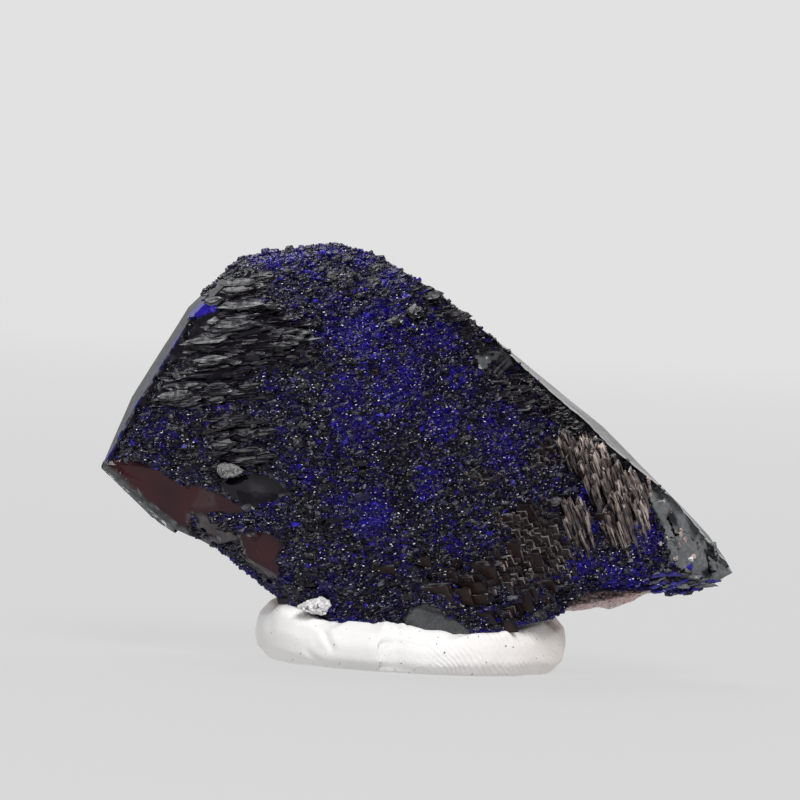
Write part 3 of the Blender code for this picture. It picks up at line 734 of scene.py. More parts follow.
def left_edge(z):
    """Where the smooth strip along the left outline ends."""
    line_x, line_z = zip(*SMOOTH_EDGES, (-19.2, 40.0))
    return np.interp(z, line_z, line_x)


def beyond_edge(x, z):
    """How far in millimetres to step inward from a place between the rim's edge and the pale rim."""
    return np.where(below(x, z, PALE_RIM) > 0, (0.5 - below(x, z, RIM_EDGE)).clip(0, 4), 0)


FRONT = Front()


def crust_depth(x, z, hits):
    """Depth of the crust in metres: the large shape with lumps, not far behind the blocks."""
    lumps = 0.28 * wander(x, z, 2.6, 1.0) + 0.24 * wander(x, z, 1.1, 2.0) + 0.1 * wander(x, z, 0.5, 4.0)
    return np.minimum(FRONT.large_shape(x, z) + lumps * MM, hits[:, 1] + 0.5 * MM)


def zone_depth(x, z, outlines):
    """How far in millimetres a place lies inside the nearest of some outlines, less than 0 outside them."""
    return np.maximum.reduce([inside_shape(x, z, outline) for outline in outlines])


def crust_share(x, z):
    """Above 0 where the crust grows: how far in millimetres inside it a place is."""
    edge = 0.6 * wander(x, z, 2.0, 5.0) + 0.4 * wander(x, z, 0.8, 6.0)
    share = -np.maximum.reduce([
        zone_depth(x, z, LEVEL_ZONES) + edge - 0.3, zone_depth(x, z, STEEP_ZONES) + edge - 0.2,
        zone_depth(x, z, FLAT_ZONES) + 1.6 * edge - 0.9, zone_depth(x, z, BARE_SHAPES) + 0.25 * edge,
        inside_shape(x, z, PATCHY) + 3.0 * edge - 0.5, inside_shape(x, z, LOW_FLATS) + 3.2 * edge - 1.1,
    ])
    margin = np.where(z > 33.5, -0.6, 0.6) - 1.1 * wander(x, z, 0.9, 31.0).clip(-0.3, 0.4)
    share = np.minimum(share, (x - left_edge(z)) * 0.87 - margin)
    share = np.minimum(share, below(x, z, PALE_RIM) - 0.1)
    share = np.where(above(x, z, TOP_LEFT) < FAR, np.minimum(share, -0.15 - above(x, z, TOP_LEFT)), share)
    share = np.maximum(share, 0.45 - distance_to(x, z, VIOLET_DRUSE))
    share = np.minimum(share, np.minimum(above(x, z, LOWER_LEFT), above(x, z, LOWER_RIGHT)) - 0.1)
    return np.minimum(share, TIP_START - x + 1.4 * (12.0 - z).clip(0, 2))


def scatter(dice, spacing_x, spacing_z):
    """A jittered grid over the front, in millimetres."""
    jitter = 0.45
    x, z = np.arange(-32.4, 32.4, spacing_x), np.arange(2.6, 42.4, spacing_z)
    x, z = (a.ravel() for a in np.meshgrid(x, z))
    x = x + dice.uniform(-jitter, jitter, len(x)) * spacing_x + (np.round(z / spacing_z) % 2) * spacing_x / 2
    return x, z + dice.uniform(-jitter, jitter, len(x)) * spacing_z


def turns(dice, count, tilt, base=LATTICE):
    """Rotations that lean away from the lattice by up to about tilt."""
    axes = dice.normal(size=(count, 3))
    axes /= np.linalg.norm(axes, axis=1)[:, None]
    angles = dice.uniform(-1, 1, count) * tilt
    cross = np.zeros((count, 3, 3))
    cross[:, 0, 1], cross[:, 0, 2], cross[:, 1, 2] = -axes[:, 2], axes[:, 1], -axes[:, 0]
    cross[:, 1, 0], cross[:, 2, 0], cross[:, 2, 1] = axes[:, 2], -axes[:, 1], axes[:, 0]
    sine, cosine = np.sin(angles)[:, None, None], np.cos(angles)[:, None, None]
    return (np.eye(3) + sine * cross + (1 - cosine) * cross @ cross) @ base


class Habit:
    """The shape of one crystal, modelled once: points in units of its size, and faces."""

    def __init__(self, obj):
        self.points = points_of(obj.data)
        self.faces = [list(p.vertices) for p in obj.data.polygons]
        bpy.data.objects.remove(obj)


def select_only(obj, kind, score):
    """Selects the one edge or face of a mesh being edited that scores highest."""
    bpy.ops.mesh.select_mode(type=kind)
    select_mesh("DESELECT")
    bm = bmesh.from_edit_mesh(obj.data)
    max(bm.faces if kind == "FACE" else bm.edges, key=score).select_set(True)
    bmesh.update_edit_mesh(obj.data)


def extrude_by(*step):
    bpy.ops.mesh.extrude_region_move(TRANSFORM_OT_translate={"value": step})


def block_habit(bevel=0.0, steps=0):
    """A cube, its edges cut, with low growth steps on the three faces that show."""
    deselect()
    bpy.ops.mesh.primitive_cube_add(size=1.0)
    obj = bpy.context.object
    edit_mode(True)
    for axis in [*range(3)] * steps:
        select_only(obj, "FACE", lambda face: (
            face.normal[axis] * (1 + face.calc_center_median()[axis]) + 0.01 * face.calc_area()))
        bpy.ops.mesh.inset(thickness=0.14)
        extrude_by(*(0.09 * (i == axis) for i in range(3)))
    if bevel:
        select_mesh("SELECT")
        bpy.ops.mesh.bevel(offset=bevel, segments=1)
    edit_mode(False)
    return Habit(obj)


def leaf_habit():
    """A leaf-shaped plate: its outline lies along ROW and FACE, its thickness along COLUMN."""
    sides, points_out = 14, 0.55
    deselect()
    bpy.ops.mesh.primitive_cylinder_add(vertices=sides, radius=0.5, depth=1.0, rotation=(math.pi / 2, 0, 0))
    obj = bpy.context.object
    bpy.ops.object.transform_apply(location=False, rotation=True, scale=False)
    edit_mode(True)
    bm = bmesh.from_edit_mesh(obj.data)
    for vert in bm.verts:
        vert.co.z *= 1.0 - points_out * abs(2 * vert.co.x) ** 2
    bmesh.update_edit_mesh(obj.data)
    edit_mode(False)
    return Habit(obj)


def grow(name, habit, spots, turn, sizes, paints, wobble, dice, fade=0.0):
    """One mesh of many crystals of a habit, whose grey, and so their painted highlight, fades towards their
    lower ends.
    """
    count, corners = len(spots), len(habit.points)
    local = habit.points[None] + dice.uniform(-wobble, wobble, (count, corners, 3))
    points = np.einsum("cij,cnj->cni", turn, local * sizes[:, None, :]) + spots[:, None, :]
    starts = range(0, count * corners, corners)
    faces = [[start + i for i in face] for start in starts for face in habit.faces]
    mesh = bpy.data.meshes.new(name)
    mesh.from_pydata(points.reshape(-1, 3).tolist(), [], faces)
    values = np.repeat(paints, corners, axis=0)
    values[:, 3] *= 1 - fade * (0.5 - np.tile(habit.points[:, 1], count)).clip(0, 1)
    paint(mesh, "crystal", values)
    return linked(name, mesh)


def rng(seed):
    return np.random.default_rng(settings().fluorite.seed + seed)


def greys(values):
    """Paints of crystals that are grey by these shares, and nothing else."""
    return np.stack([0 * values, 0 * values, 0 * values, values], axis=1)


def plant(name, habit, finish, dice, spots, sizes, paints, lean, wobble, base=LATTICE, fade=0.0):
    """Grows a piece of fluorite crystals that lean by up to some degrees, and settles it."""
    turn = turns(dice, len(spots), math.radians(lean), base)
    return settle(grow(name, habit, spots, turn, sizes, paints, wobble, dice, fade), "fluorite", finish)


def crystal_paints(x, z, dice):
    """Blue share, painted red-brown reflection share, painted glow and grey share of crystals at these places.
    """
    base, spread = 0.2, 0.26
    patches = strength_at(x, z, BLUE_PATCHES, 0.6)
    blue = base + 0.3 * wander(x, z, 3.1, 3.0) + patches * (0.7 + 0.9 * wander(x, z, 0.9, 9.0))
    edge = unit(1.4 - distance_to(x, z, VIOLET_EDGE) * 2.2)
    blue = blue + dice.normal(0, spread, len(x))
    blue = unit(np.maximum(blue, edge * dice.uniform(0.2, 1.0, len(x))))
    lucky = dice.uniform(size=len(x))
    # Painted glow, standing in for light through the crystals: in the glow patches, on a few crystals at random
    # as sparkle, and along the violet edge.
    glow = strength_at(x, z, GLOW_PATCHES) * np.where(lucky < 0.42, dice.uniform(0.1, 1.0, len(x)), 0)
    sparks = np.where(lucky > 1 - 0.045 * (0.1 + blue), dice.uniform(0.2, 0.9, len(x)), 0)
    glow = np.maximum.reduce([glow, sparks, edge * 0.14 * dice.uniform(0, 1, len(x))])
    greyer = 0.18 + 0.32 * unit((z - 35.0) / 2.0) - 0.15 * strength_at(x, z, DARK_PATCHES)
    grey = np.where(dice.uniform(size=len(x)) < greyer, dice.uniform(0.0, 0.5, len(x)), 0) * (1 - blue)
    return np.stack([np.maximum(blue, np.minimum(glow * 2, 1)), 0 * blue, glow, grey], axis=1)


def fluorite_finish(name, lean, facet, streaks=0.0, rough=0.14, brown=0.0, treads=True, shine=0.5, highlight_streaks=0.0,
                    ends=1.0):
    """Dark glassy fluorite: blue, painted red-brown reflection, painted glow or grey where the attribute says
    so, and a painted warm brown reflection on flats. Faces that look along the level treads get a painted pale
    highlight, and ends that look along the rows a painted coppery highlight; streaks of that coppery colour may
    lie over every face. Without treads, the sides that look left get a mottled painted grey reflection. The
    surface leans a random way in each small facet, and streaks along the lattice."""
    own = settings().fluorite
    finish = Finish(name, IOR=1.45, Specular_IOR_Level=shine, Emission_Strength=1.0)
    place = finish.place()
    normal = finish.normal()
    blue, red_reflection, glow, grey = finish.attribute("crystal")
    patchy = finish.noise(place, 0.32 * MM, detail=3.0)
    fine = finish.noise(place, 0.12 * MM, detail=1.0)
    level = finish.noise(finish.lattice_place(place, (12.0, 1.0, 1.6)), 0.13 * MM, detail=3.0)
    steep = finish.noise(finish.lattice_place(place, (1.0, 9.0, 1.6)), 0.16 * MM, detail=3.0)
    blue = (blue + (patchy - 0.5) * 0.9).rise(0.12, 0.95)
    # Faces that look along FACE get a painted warm brown reflection, as strong as brown says.
    flat = finish.along(normal, FACE).rise(0.90, 0.985) * brown
    # Where the attribute says, a painted red-brown reflection lies over the deep colour.
    deep = finish.mix(red_reflection, finish.mix(flat, tuple(own.body), tuple(own.flat_reflection)), tuple(own.cleavage_reflection))
    colour = finish.mix(blue * fine.rise(0.3, 0.75), deep, tuple(own.blue))
    if treads:
        # Faces that look along the level treads get a painted pale highlight, as strong as the grey share.
        tread = finish.along(normal, TREAD).rise(0.78, 0.93) * level.rise(0.40, 0.64)
        # Ends that look along the rows get a painted coppery highlight, as strong as the grey share.
        end = finish.along(normal, ROW).rise(0.72, 0.90) * steep.rise(0.40, 0.60) * ends
        # Streaks of the painted coppery highlight colour may lie over every face.
        if highlight_streaks:
            colour = finish.mix(steep.rise(0.36, 0.66) * highlight_streaks, colour, tuple(own.warm_highlight))
        colour = finish.mix(tread * grey, colour, tuple(own.tread_highlight))
        colour = finish.mix(end * grey, colour, tuple(own.warm_highlight))
    else:
        # Faces that look left get a mottled painted grey reflection, and are rougher.
        side = finish.along(normal, (-1, 0, 0)).rise(0.35, 0.55)
        mottled = finish.noise(place, 0.7 * MM, detail=4.0)
        colour = finish.mix(grey * (0.2 + patchy * 1.6), colour, tuple(own.slate))
        colour = finish.mix(side * mottled.rise(0.44, 0.60), colour, tuple(own.slate))
    finish.set("Base Color", colour)
    # Painted glow: emission stands in for light shining through the crystals.
    light = glow * patchy.rise(0.25, 0.75) * (0.4 + fine * 0.8)
    finish.set("Emission Color", finish.mix(light, (0, 0, 0, 1), (0.04, 0.03, 0.55, 1)))
    dull = patchy * 0.16 if treads else patchy * 0.16 + side * (0.3 + mottled.rise(0.44, 0.56) * 0.55)
    finish.set("Roughness", rough + dull)
    normal = finish.faceted(place, facet, lean)
    if streaks:
        height = level + steep * 0.6
        normal = finish.bump(height if treads else height + side * mottled * 22.0, streaks, normal)
    finish.set("Normal", normal)
    return finish.material


class MINERAL_OT_fluorite_body(Operator):
    """Dress the fluorite's body: split its long edges, ripple its smooth faces and paint it"""
    bl_idname = "mineral.fluorite_body"
    bl_label = "Fluorite body"

    def execute(self, context):
        body = copy_of("fluorite", "fluorite_body")
        self.split(body)
        foremost = self.fit_outline(body)
        roughen(body, "ripples", size=4.5 * MM, strength=0.14 * MM)
        points = points_of(body.data) / MM
        front = points[:, 1] < 0
        self.make_room(points, front * (normals_of(body.data)[:, 1] < 0) * foremost)
        self.widen_cleavage(points, foremost & front)
        move_points(body.data, points * MM)
        take(body)
        bpy.ops.object.shade_smooth_by_angle(angle=math.radians(14))
        paint(body.data, "crystal", self.paints(points[:, 0], points[:, 2]) * front[:, None])
        finish = fluorite_finish("fluorite_body", lean=0.06, facet=0.7 * MM, streaks=0.004 * MM, rough=0.1,
                                 treads=False, shine=0.34)
        settle(body, "fluorite", finish, "fluorite")
        return {"FINISHED"}

    def split(self, body):
        """Splits edges all over, then finer on the front, along the right rim and at its small facets."""
        facets = TOP_FACET + SIDE_FACET[2:]
        refine(body, 1.1 * MM, rounds=8)
        refine(body, 0.5 * MM, rounds=4, near=lambda x, y, z: y < -0.5)
        refine(body, 0.26 * MM, rounds=3,
               near=lambda x, y, z: (y < -2) & (np.abs(below(x, z, PALE_RIM)) < 0.5) & (x > 4))
        refine(body, 0.15 * MM, rounds=4, near=lambda x, y, z: (y < -3) & (inside_shape(x, z, facets) > -0.2))

    def fit_outline(self, body):
        """Brings the outline in and runs the front on to the pale rim. Says which points the front shows."""
        points = self.trimmed(points_of(body.data) / MM)
        x, z = points[:, 0], points[:, 2]
        hits, _, found = FRONT.cast(x, z)
        foremost = found & (np.abs(points[:, 1] - FRONT.direct(x, z)) < 0.4)
        points[:, 1] = np.where(foremost & (beyond_edge(x, z) > 0), hits[:, 1] / MM, points[:, 1])
        move_points(body.data, points * MM)
        return foremost

    def make_room(self, points, facing):
        """Sets the front back under what grows on it, and smooths it where it is slate."""
        x, z = points[:, 0], points[:, 2]
        large = FRONT.large_shape(x, z) / MM
        grown = np.maximum.reduce([
            crust_share(x, z), zone_depth(x, z, STEEP_ZONES) - 0.3,
            zone_depth(x, z, (*FLAT_ZONES, LOW_FLATS, *LEVEL_ZONES[1:])) - 0.4,
        ])
        under = unit(grown * 2.5) * facing
        points[:, 1] += under * (np.maximum(points[:, 1], large + 0.35) - points[:, 1])
        smooth = unit(0.5 + zone_depth(x, z, (SLATE, UNDER_RIM)) * 1.5) * facing
        smooth = smooth * (below(x, z, PALE_RIM) > 0.1)
        points[:, 1] += smooth * (large - 0.05 - points[:, 1])

    def paints(self, x, z):
        """Blue, painted red-brown reflection, painted glow and grey of the body's facets, cleavages, rims and
        left strip.
        """
        azure = unit(0.5 + inside_shape(x, z, BLUE_FACET) * 3)
        edge = unit(1.3 - distance_to(x, z, SMOOTH_EDGES) * 3)
        edge = edge * unit(0.5 + 0.9 * wander(x, z, 0.9, 36.0))
        blue = np.maximum.reduce([strength_at(x, z, BLUE_PATCHES, 0.6) * 0.4, azure, edge])
        red_reflection = shaped(x, z, RED_REFLECTION_SHAPES) * (0.75 + 0.6 * wander(x, z, 2.4, 21.0))
        # Painted light: a slate grey band along the pale rim, where the stripe lies in shade.
        rim = unit(1.5 - np.abs(below(x, z, PALE_RIM) - 0.1) * 2.5) * (x > 8) * 0.88
        slate = np.maximum(shaped(x, z, SLATE_SHAPES), rim) * (0.9 + 0.35 * wander(x, z, 1.3, 22.0))
        slate = slate * unit(0.5 - inside_shape(x, z, SIDE_FACET) * 4)
        slate = np.maximum(slate, shaped(x, z, CRISP_SHAPES, 0.06))
        slate *= unit(0.5 - zone_depth(x, z, SLOTS) * 4)
        lower_rim = 1.5 - distance_to(x, z, LOWER_LEFT[:4]) * 2.2 + 0.4 * wander(x, z, 0.8, 35.0)
        lower_rim = unit(lower_rim)
        red_reflection, slate = red_reflection * (1 - lower_rim), np.maximum(slate, lower_rim * 0.6)
        # The blue facet and the left strip get a painted glow.
        return np.stack([blue, red_reflection, azure * 0.5 + edge * 0.25, slate], axis=1)

    def trimmed(self, points):
        """Points brought inside the outline at the top left, the lower left and the lower right."""
        for line, sign in ((TOP_LEFT, 1), (LOWER_LEFT[2:], -1), (LOWER_RIGHT, -1)):
            over = above(points[:, 0], points[:, 2], line) * sign
            points[:, 2] -= np.where(np.abs(over) < FAR, over.clip(0, 1.5), 0) * sign
        return points

    def widen_cleavage(self, points, seen):
        """Carries the plane of the brown cleavage on down to a narrow rim."""
        x, z = points[:, 0], points[:, 2]
        flat = seen & (inside_shape(x, z, CLEAVAGE) > 0.5) & (inside_shape(x, z, UNDER_CLEAVAGE) < -0.5)
        terms = np.stack([x, z, np.ones(len(x))], axis=1)
        plane = terms @ np.linalg.lstsq(terms[flat], points[flat, 1], rcond=None)[0]
        rim = (0.65 - distance_to(x, z, LOWER_LEFT[:4]) + 0.15 * wander(x, z, 0.7, 33.0)).clip(0, 0.6)
        share = unit(0.5 + inside_shape(x, z, UNDER_CLEAVAGE) * 2) * seen
        points[:, 1] += share * (plane + rim * 0.9 - points[:, 1])


class MINERAL_OT_crust(Operator):
    """Grow the crust of small cubes over the middle of the fluorite's front"""
    bl_idname = "mineral.crust"
    bl_label = "Crystal crust"

    def execute(self, context):
        own = settings().fluorite
        finish = fluorite_finish("fluorite_crust", lean=0.95, facet=0.11 * MM, treads=False, shine=0.36)
        small, large = block_habit(), block_habit(bevel=0.05, steps=1)
        for name, habit, spacing, size, low, high, seed in (
            ("crust_left", small, own.spacing, own.crystal, -40.0, -7.0, 1),
            ("crust_middle", small, own.spacing, own.crystal, -7.0, 5.0, 3),
            ("crust_right", small, own.spacing, own.crystal, 5.0, 40.0, 4),
            ("crust_coarse", large, own.spacing * 6.0, own.crystal * 1.9, -40.0, 40.0, 2),
        ):
            dice = rng(seed)
            x, z = scatter(dice, spacing / MM, spacing / MM)
            x, z = kept((x > low) & (x <= high), x, z)
            x, z = kept(crust_share(x, z) > 0, x, z)
            hits, normals, found = FRONT.cast(x, z)
            facing = (normals[:, 1] < np.where(x < LEFT_SIDE, -0.05, -0.12)) | (z > CREST)
            x, z, hits = kept(found & facing & (normals[:, 2] > OVERHANG), x, z, hits)
            count = len(x)
            hits[:, 1] = crust_depth(x, z, hits)
            middling = size * np.exp(dice.normal(0, 0.34, count)).clip(0.5, 2.2)
            sizes = middling[:, None] * dice.uniform((0.9, 0.6, 0.8), (2.3, 1.1, 1.3), (count, 3))
            spots = hits + np.array((0, 1, 0)) * (dice.uniform(-0.3, 0.3, count) * middling)[:, None]
            turn = turns(dice, count, own.tilt)
            paints = crystal_paints(x, z, dice)
            if habit is large:
                paints *= (0.5, 1, 0, 0.25)
            crust = grow(name, habit, spots, turn, sizes, paints, wobble=0.06, dice=dice)
            settle(crust, "fluorite", finish)
        self.glints(small)
        return {"FINISHED"}

    def glints(self, habit):
        """Tiny faces all over the crust whose pale colour is a painted glint."""
        dice = rng(30)
        x, z = scatter(dice, 0.42, 0.42)
        x, z = kept(crust_share(x, z) > 0.1, x, z)
        hits, normals, found = FRONT.cast(x, z)
        x, z, hits = kept(found & (normals[:, 1] < -0.12) & (normals[:, 2] > OVERHANG), x, z, hits)
        count = len(x)
        hits[:, 1] = crust_depth(x, z, hits) - dice.uniform(0.1, 0.24, count) * MM
        sizes = dice.uniform((0.06, 0.05, 0.05), (0.22, 0.09, 0.09), (count, 3)) * MM
        lively = np.clip(0.75 + 0.9 * wander(x, z, 1.6, 34.0) + strength_at(x, z, GLINT_PATCHES), 0.2, 1.5)
        paints = greys((dice.uniform(size=count) ** 3.0 * lively * 1.15).clip(0, 1))
        finish = Finish("fluorite_glints", IOR=1.45, Roughness=0.3)
        grey = finish.attribute("crystal")[3]
        # Painted glints: the palest faces are nearly white.
        finish.set("Base Color", finish.mix(grey, (0.01, 0.006, 0.03, 1), (0.9, 0.9, 0.97, 1)))
        plant("glints", habit, finish.material, dice, hits, sizes, paints, lean=40, wobble=0.1)


def grow_plates(name, zones, habit, finish, seed, spacing, low, high, tilt, sink, pale, base=LATTICE,
                smoothed=0.0, wobble=0.05, fade=0.0, hang=0.0, clear=0.3, even=3.0, azure=0.0):
    """Crystals of one habit over some zones, with sizes along ROW, COLUMN and FACE between low and high. They
    lean by up to tilt in degrees and sit as deep as sink, a least and a most. pale is the greyest that they
    get, and on faces with treads the strength of their painted highlights; even how rarely, smoothed how far
    they sit on the large shape instead of the blocks, fade how much of the grey, and so of the painted
    highlights, their lower ends lose, hang how far they hang down from their places as a share of their
    height, clear how far their ends stay from the pale rim, and azure the share of blue ones, which also get a
    painted glow."""
    dice = rng(seed)
    x, z = scatter(dice, *spacing)
    x, z = kept(zone_depth(x, z, zones) + 0.4 * wander(x, z, 2.0, 5.0) > 0, x, z)
    sizes = dice.uniform(low, high, (len(x), 3))
    x, z = x - hang * sizes[:, 1] * COLUMN.x, z - hang * sizes[:, 1] * COLUMN.z
    room = np.full(len(x), FAR)
    for axis, length in ((ROW, sizes[:, 0]), (COLUMN, sizes[:, 1])):
        room = np.minimum(room, below(x + 0.5 * length * axis.x, z + 0.5 * length * axis.z, PALE_RIM))
    x, z, sizes = kept((room > clear) & (zone_depth(x, z, zones) > -1.6), x, z, sizes * MM)
    hits, normals, found = FRONT.cast(x, z)
    x, z, hits, normals, sizes = kept(found & (normals[:, 1] < -0.2), x, z, hits, normals, sizes)
    count = len(x)
    hits[:, 1] += smoothed * (FRONT.large_shape(x, z) - hits[:, 1])
    edge = left_edge(z) + 0.45 * sizes[:, 0] / MM + 0.5
    hits[:, 0] = np.maximum(hits[:, 0], edge * MM)
    spots = hits - normals * (dice.uniform(*sink, count) * MM)[:, None]
    paints = greys(pale * dice.uniform(size=count) ** even)
    # Blue ones also get a painted glow.
    paints[dice.uniform(size=count) < azure] = (0.9, 0, 0.25, 0.1)
    plant(name, habit, finish, dice, spots, sizes, paints, tilt, wobble, base, fade)


def columns(table, repeats=1):
    """The columns of a table, each row taken a number of times."""
    return [np.repeat(column, repeats) for column in zip(*table)]


class MINERAL_OT_ledges(Operator):
    """Grow the level ledges, the steep ledges and the patchwork of flats"""
    bl_idname = "mineral.ledges"
    bl_label = "Ledges and flats"

    def execute(self, context):
        finish = fluorite_finish("fluorite_ledges", lean=0.12, facet=0.4 * MM, streaks=0.012 * MM, rough=0.16)
        flats = fluorite_finish("fluorite_flats", lean=0.1, facet=0.4 * MM, streaks=0.01 * MM, rough=0.2,
                                brown=0.3, highlight_streaks=0.06, ends=0.45)
        smooth = fluorite_finish("fluorite_smooth_flats", lean=0.06, facet=0.5 * MM, streaks=0.01 * MM,
                                 rough=0.3, brown=1.0, shine=0.22, ends=0.3)
        steep = fluorite_finish("fluorite_steep", lean=0.12, facet=0.4 * MM, streaks=0.014 * MM, rough=0.2,
                                brown=0.1, highlight_streaks=0.28)
        tip = fluorite_finish("fluorite_tip", lean=0.2, facet=0.4 * MM, treads=False)
        leaf, block, blade = leaf_habit(), block_habit(bevel=0.04), block_habit(bevel=0.1)
        grow_plates("level_ledges", LEVEL_ZONES, leaf, finish, seed=11, spacing=(1.5, 0.22),
                    low=(1.2, 0.05, 0.4), high=(4.4, 0.18, 1.1), tilt=3, sink=(0.0, 0.4), pale=0.75,
                    base=LEANING, wobble=0.14, even=2.5)
        grow_plates("lined_ledges", LINED_ZONES, block, finish, seed=14, spacing=(1.2, 0.22),
                    low=(1.2, 0.06, 0.5), high=(2.8, 0.14, 0.8), tilt=2, sink=(0.0, 0.25), pale=0.7,
                    base=LEANING, smoothed=1.0, wobble=0.1, clear=0.9, even=2.0)
        grow_plates("rim_ledges", RIM_ZONES, leaf, finish, seed=18, spacing=(0.8, 0.26),
                    low=(0.6, 0.08, 0.3), high=(1.8, 0.26, 0.8), tilt=9, sink=(-0.2, 0.3), pale=0.75,
                    base=LEANING, smoothed=1.0, wobble=0.12, clear=0.25, even=2.0)
        grow_plates("under_rim", (UNDER_RIM,), leaf, finish, seed=22, spacing=(0.8, 0.22),
                    low=(0.5, 0.06, 0.4), high=(1.5, 0.24, 0.9), tilt=7, sink=(-0.1, 0.15), pale=1.5,
                    base=LEANING, wobble=0.12, clear=0.15, even=1.3)
        grow_plates("steep_ledges", STEEP_ZONES, blade, steep, seed=12, spacing=(0.24, 1.5),
                    low=(0.1, 3.0, 0.6), high=(0.34, 7.5, 1.3), tilt=2.2, sink=(-0.2, 0.35), pale=1.9,
                    smoothed=0.95, fade=1.1, hang=0.5, clear=0.55, even=2.2)
        grow_plates("small_flats", FLAT_ZONES, block, flats, seed=17, spacing=(0.55, 0.5),
                    low=(0.2, 0.2, 0.2), high=(1.3, 1.1, 0.5), tilt=3.5, sink=(0.0, 0.2), pale=1.7,
                    smoothed=0.95, even=2.0)
        grow_plates("low_flats", (LOW_FLATS,), block, smooth, seed=26, spacing=(1.7, 1.5),
                    low=(0.8, 0.7, 0.3), high=(2.6, 2.0, 0.4), tilt=4, sink=(0.0, 0.14), pale=1.3,
                    smoothed=1.0, wobble=0.14, even=2.0)
        self.big_ledges(finish, leaf)
        self.big_flats(smooth, block)
        grow_plates("tip_streaks", (TIP_STREAKS,), leaf, tip, seed=24, spacing=(1.0, 0.3),
                    low=(1.2, 0.1, 0.3), high=(3.6, 0.3, 0.7), tilt=8, sink=(-0.05, 0.1), pale=1.1,
                    smoothed=1.0, wobble=0.1, even=0.6, azure=0.35)
        self.single_crystals(block)
        self.spots(blade)
        return {"FINISHED"}

    def big_ledges(self, finish, leaf):
        """Each ledge that stands out is a stack of thin leaves."""
        leaves = 7
        dice = rng(15)
        x, z, length, height, pale = columns(BIG_LEDGES, leaves)
        hits = FRONT.cast(x, z)[0]
        count = len(x)
        long = length * dice.uniform(0.4, 1.15, count)
        thick = 0.05 + height * dice.uniform(0.06, 0.22, count)
        along = dice.uniform(-0.3, 0.3, count) * (length - long).clip(0.3)
        up = dice.uniform(-0.45, 0.45, count) * height
        off = np.stack([along, up, dice.uniform(0, 0.3, count)], axis=1)
        spots = hits + (off @ LEANING.T + (0, -0.15, 0)) * MM
        sizes = np.stack([long, thick, 0.5 + height * dice.uniform(0.6, 1.4, count)], axis=1) * MM
        # The grey share sets the painted highlights on treads and ends.
        paints = greys(pale * dice.uniform(0.1, 0.95, count))
        plant("big_ledges", leaf, finish, dice, spots, sizes, paints, lean=2.5, wobble=0.12, base=LEANING)

    def big_flats(self, finish, block):
        dice = rng(20)
        x, z, width, height = columns(BIG_FLATS)
        hits = FRONT.cast(x, z)[0]
        count = len(x)
        hits[:, 1] = FRONT.large_shape(x, z) + 0.1 * MM
        sizes = np.stack([width, height, np.full(count, 0.5)], axis=1) * MM
        # The grey share sets the painted highlights on treads and ends.
        paints = greys(dice.uniform(0.1, 0.9, count))
        plant("big_flats", block, finish, dice, hits, sizes, paints, lean=6, wobble=0.11)

    def single_crystals(self, block):
        finish = fluorite_finish("fluorite_singles", lean=0.3, facet=0.3 * MM, treads=False)
        middles, sizes, paints = (np.array(column) for column in zip(*SINGLE_CRYSTALS))
        hits = FRONT.cast(middles[:, 0], middles[:, 1])[0]
        plant("single_crystals", block, finish, rng(16), hits, sizes * MM, paints, lean=12, wobble=0.1)

    def spots(self, blade):
        crystals = 3
        dice = rng(23)
        x, z, width, height, pale = columns(SPOTS, crystals)
        count = len(x)
        x, z = x + dice.uniform(-0.3, 0.3, count) * width, z + dice.uniform(-0.3, 0.3, count) * height
        hits = FRONT.cast(x, z)[0]
        hits[:, 1] = np.minimum(FRONT.large_shape(x, z), hits[:, 1]) - 0.05 * MM
        sizes = np.stack([width * 0.6, height * 0.6, np.full(count, 0.3)], axis=1) * MM
        paints = greys(pale * dice.uniform(0.4, 1.0, count))
        # Coppery painted highlights, and white on the palest, which is a white crystal.
        finish = Finish("fluorite_spots", IOR=1.45, Roughness=0.25)
        grey = finish.attribute("crystal")[3]
        warm_highlight = tuple(settings().fluorite.warm_highlight)
        warm_highlight = finish.mix(grey.rise(0, 0.95), (0.03, 0.022, 0.02, 1), warm_highlight)
        finish.set("Base Color", finish.mix(grey.rise(0.95, 1.1), warm_highlight, (0.75, 0.75, 0.74, 1)))
        plant("spots", blade, finish.material, dice, hits, sizes, paints, lean=12, wobble=0.15)


def quartz_finish(name, colour, grain, dark, lift=0.35):
    """Sugary quartz: pale grains with soft sheen, and dark specks of fluorite between them."""
    finish = Finish(name, IOR=1.54)
    place = finish.place()
    grains = finish.cells(place, grain)
    cloud = finish.noise(place, 2.2 * MM, detail=3.0)
    specks = finish.noise(place, 0.5 * MM, detail=2.0).rise(0.60, 0.68) * dark
    pale = finish.mix(cloud.rise(0.35, 0.7), tuple(colour), tuple(0.6 * c + lift for c in colour[:3]) + (1,))
    shaded = finish.mix(grains.rise(0.25, 0.75) * 0.45, pale, tuple(0.45 * c for c in colour[:3]) + (1,))
    finish.set("Base Color", finish.mix(specks, shaded, (0.02, 0.016, 0.05, 1)))
    finish.set("Roughness", 0.25 + cloud * 0.3)
    finish.set("Normal", finish.bump(grains, -0.5 * grain, finish.faceted(place, grain * 0.45, 0.7)))
    return finish.material


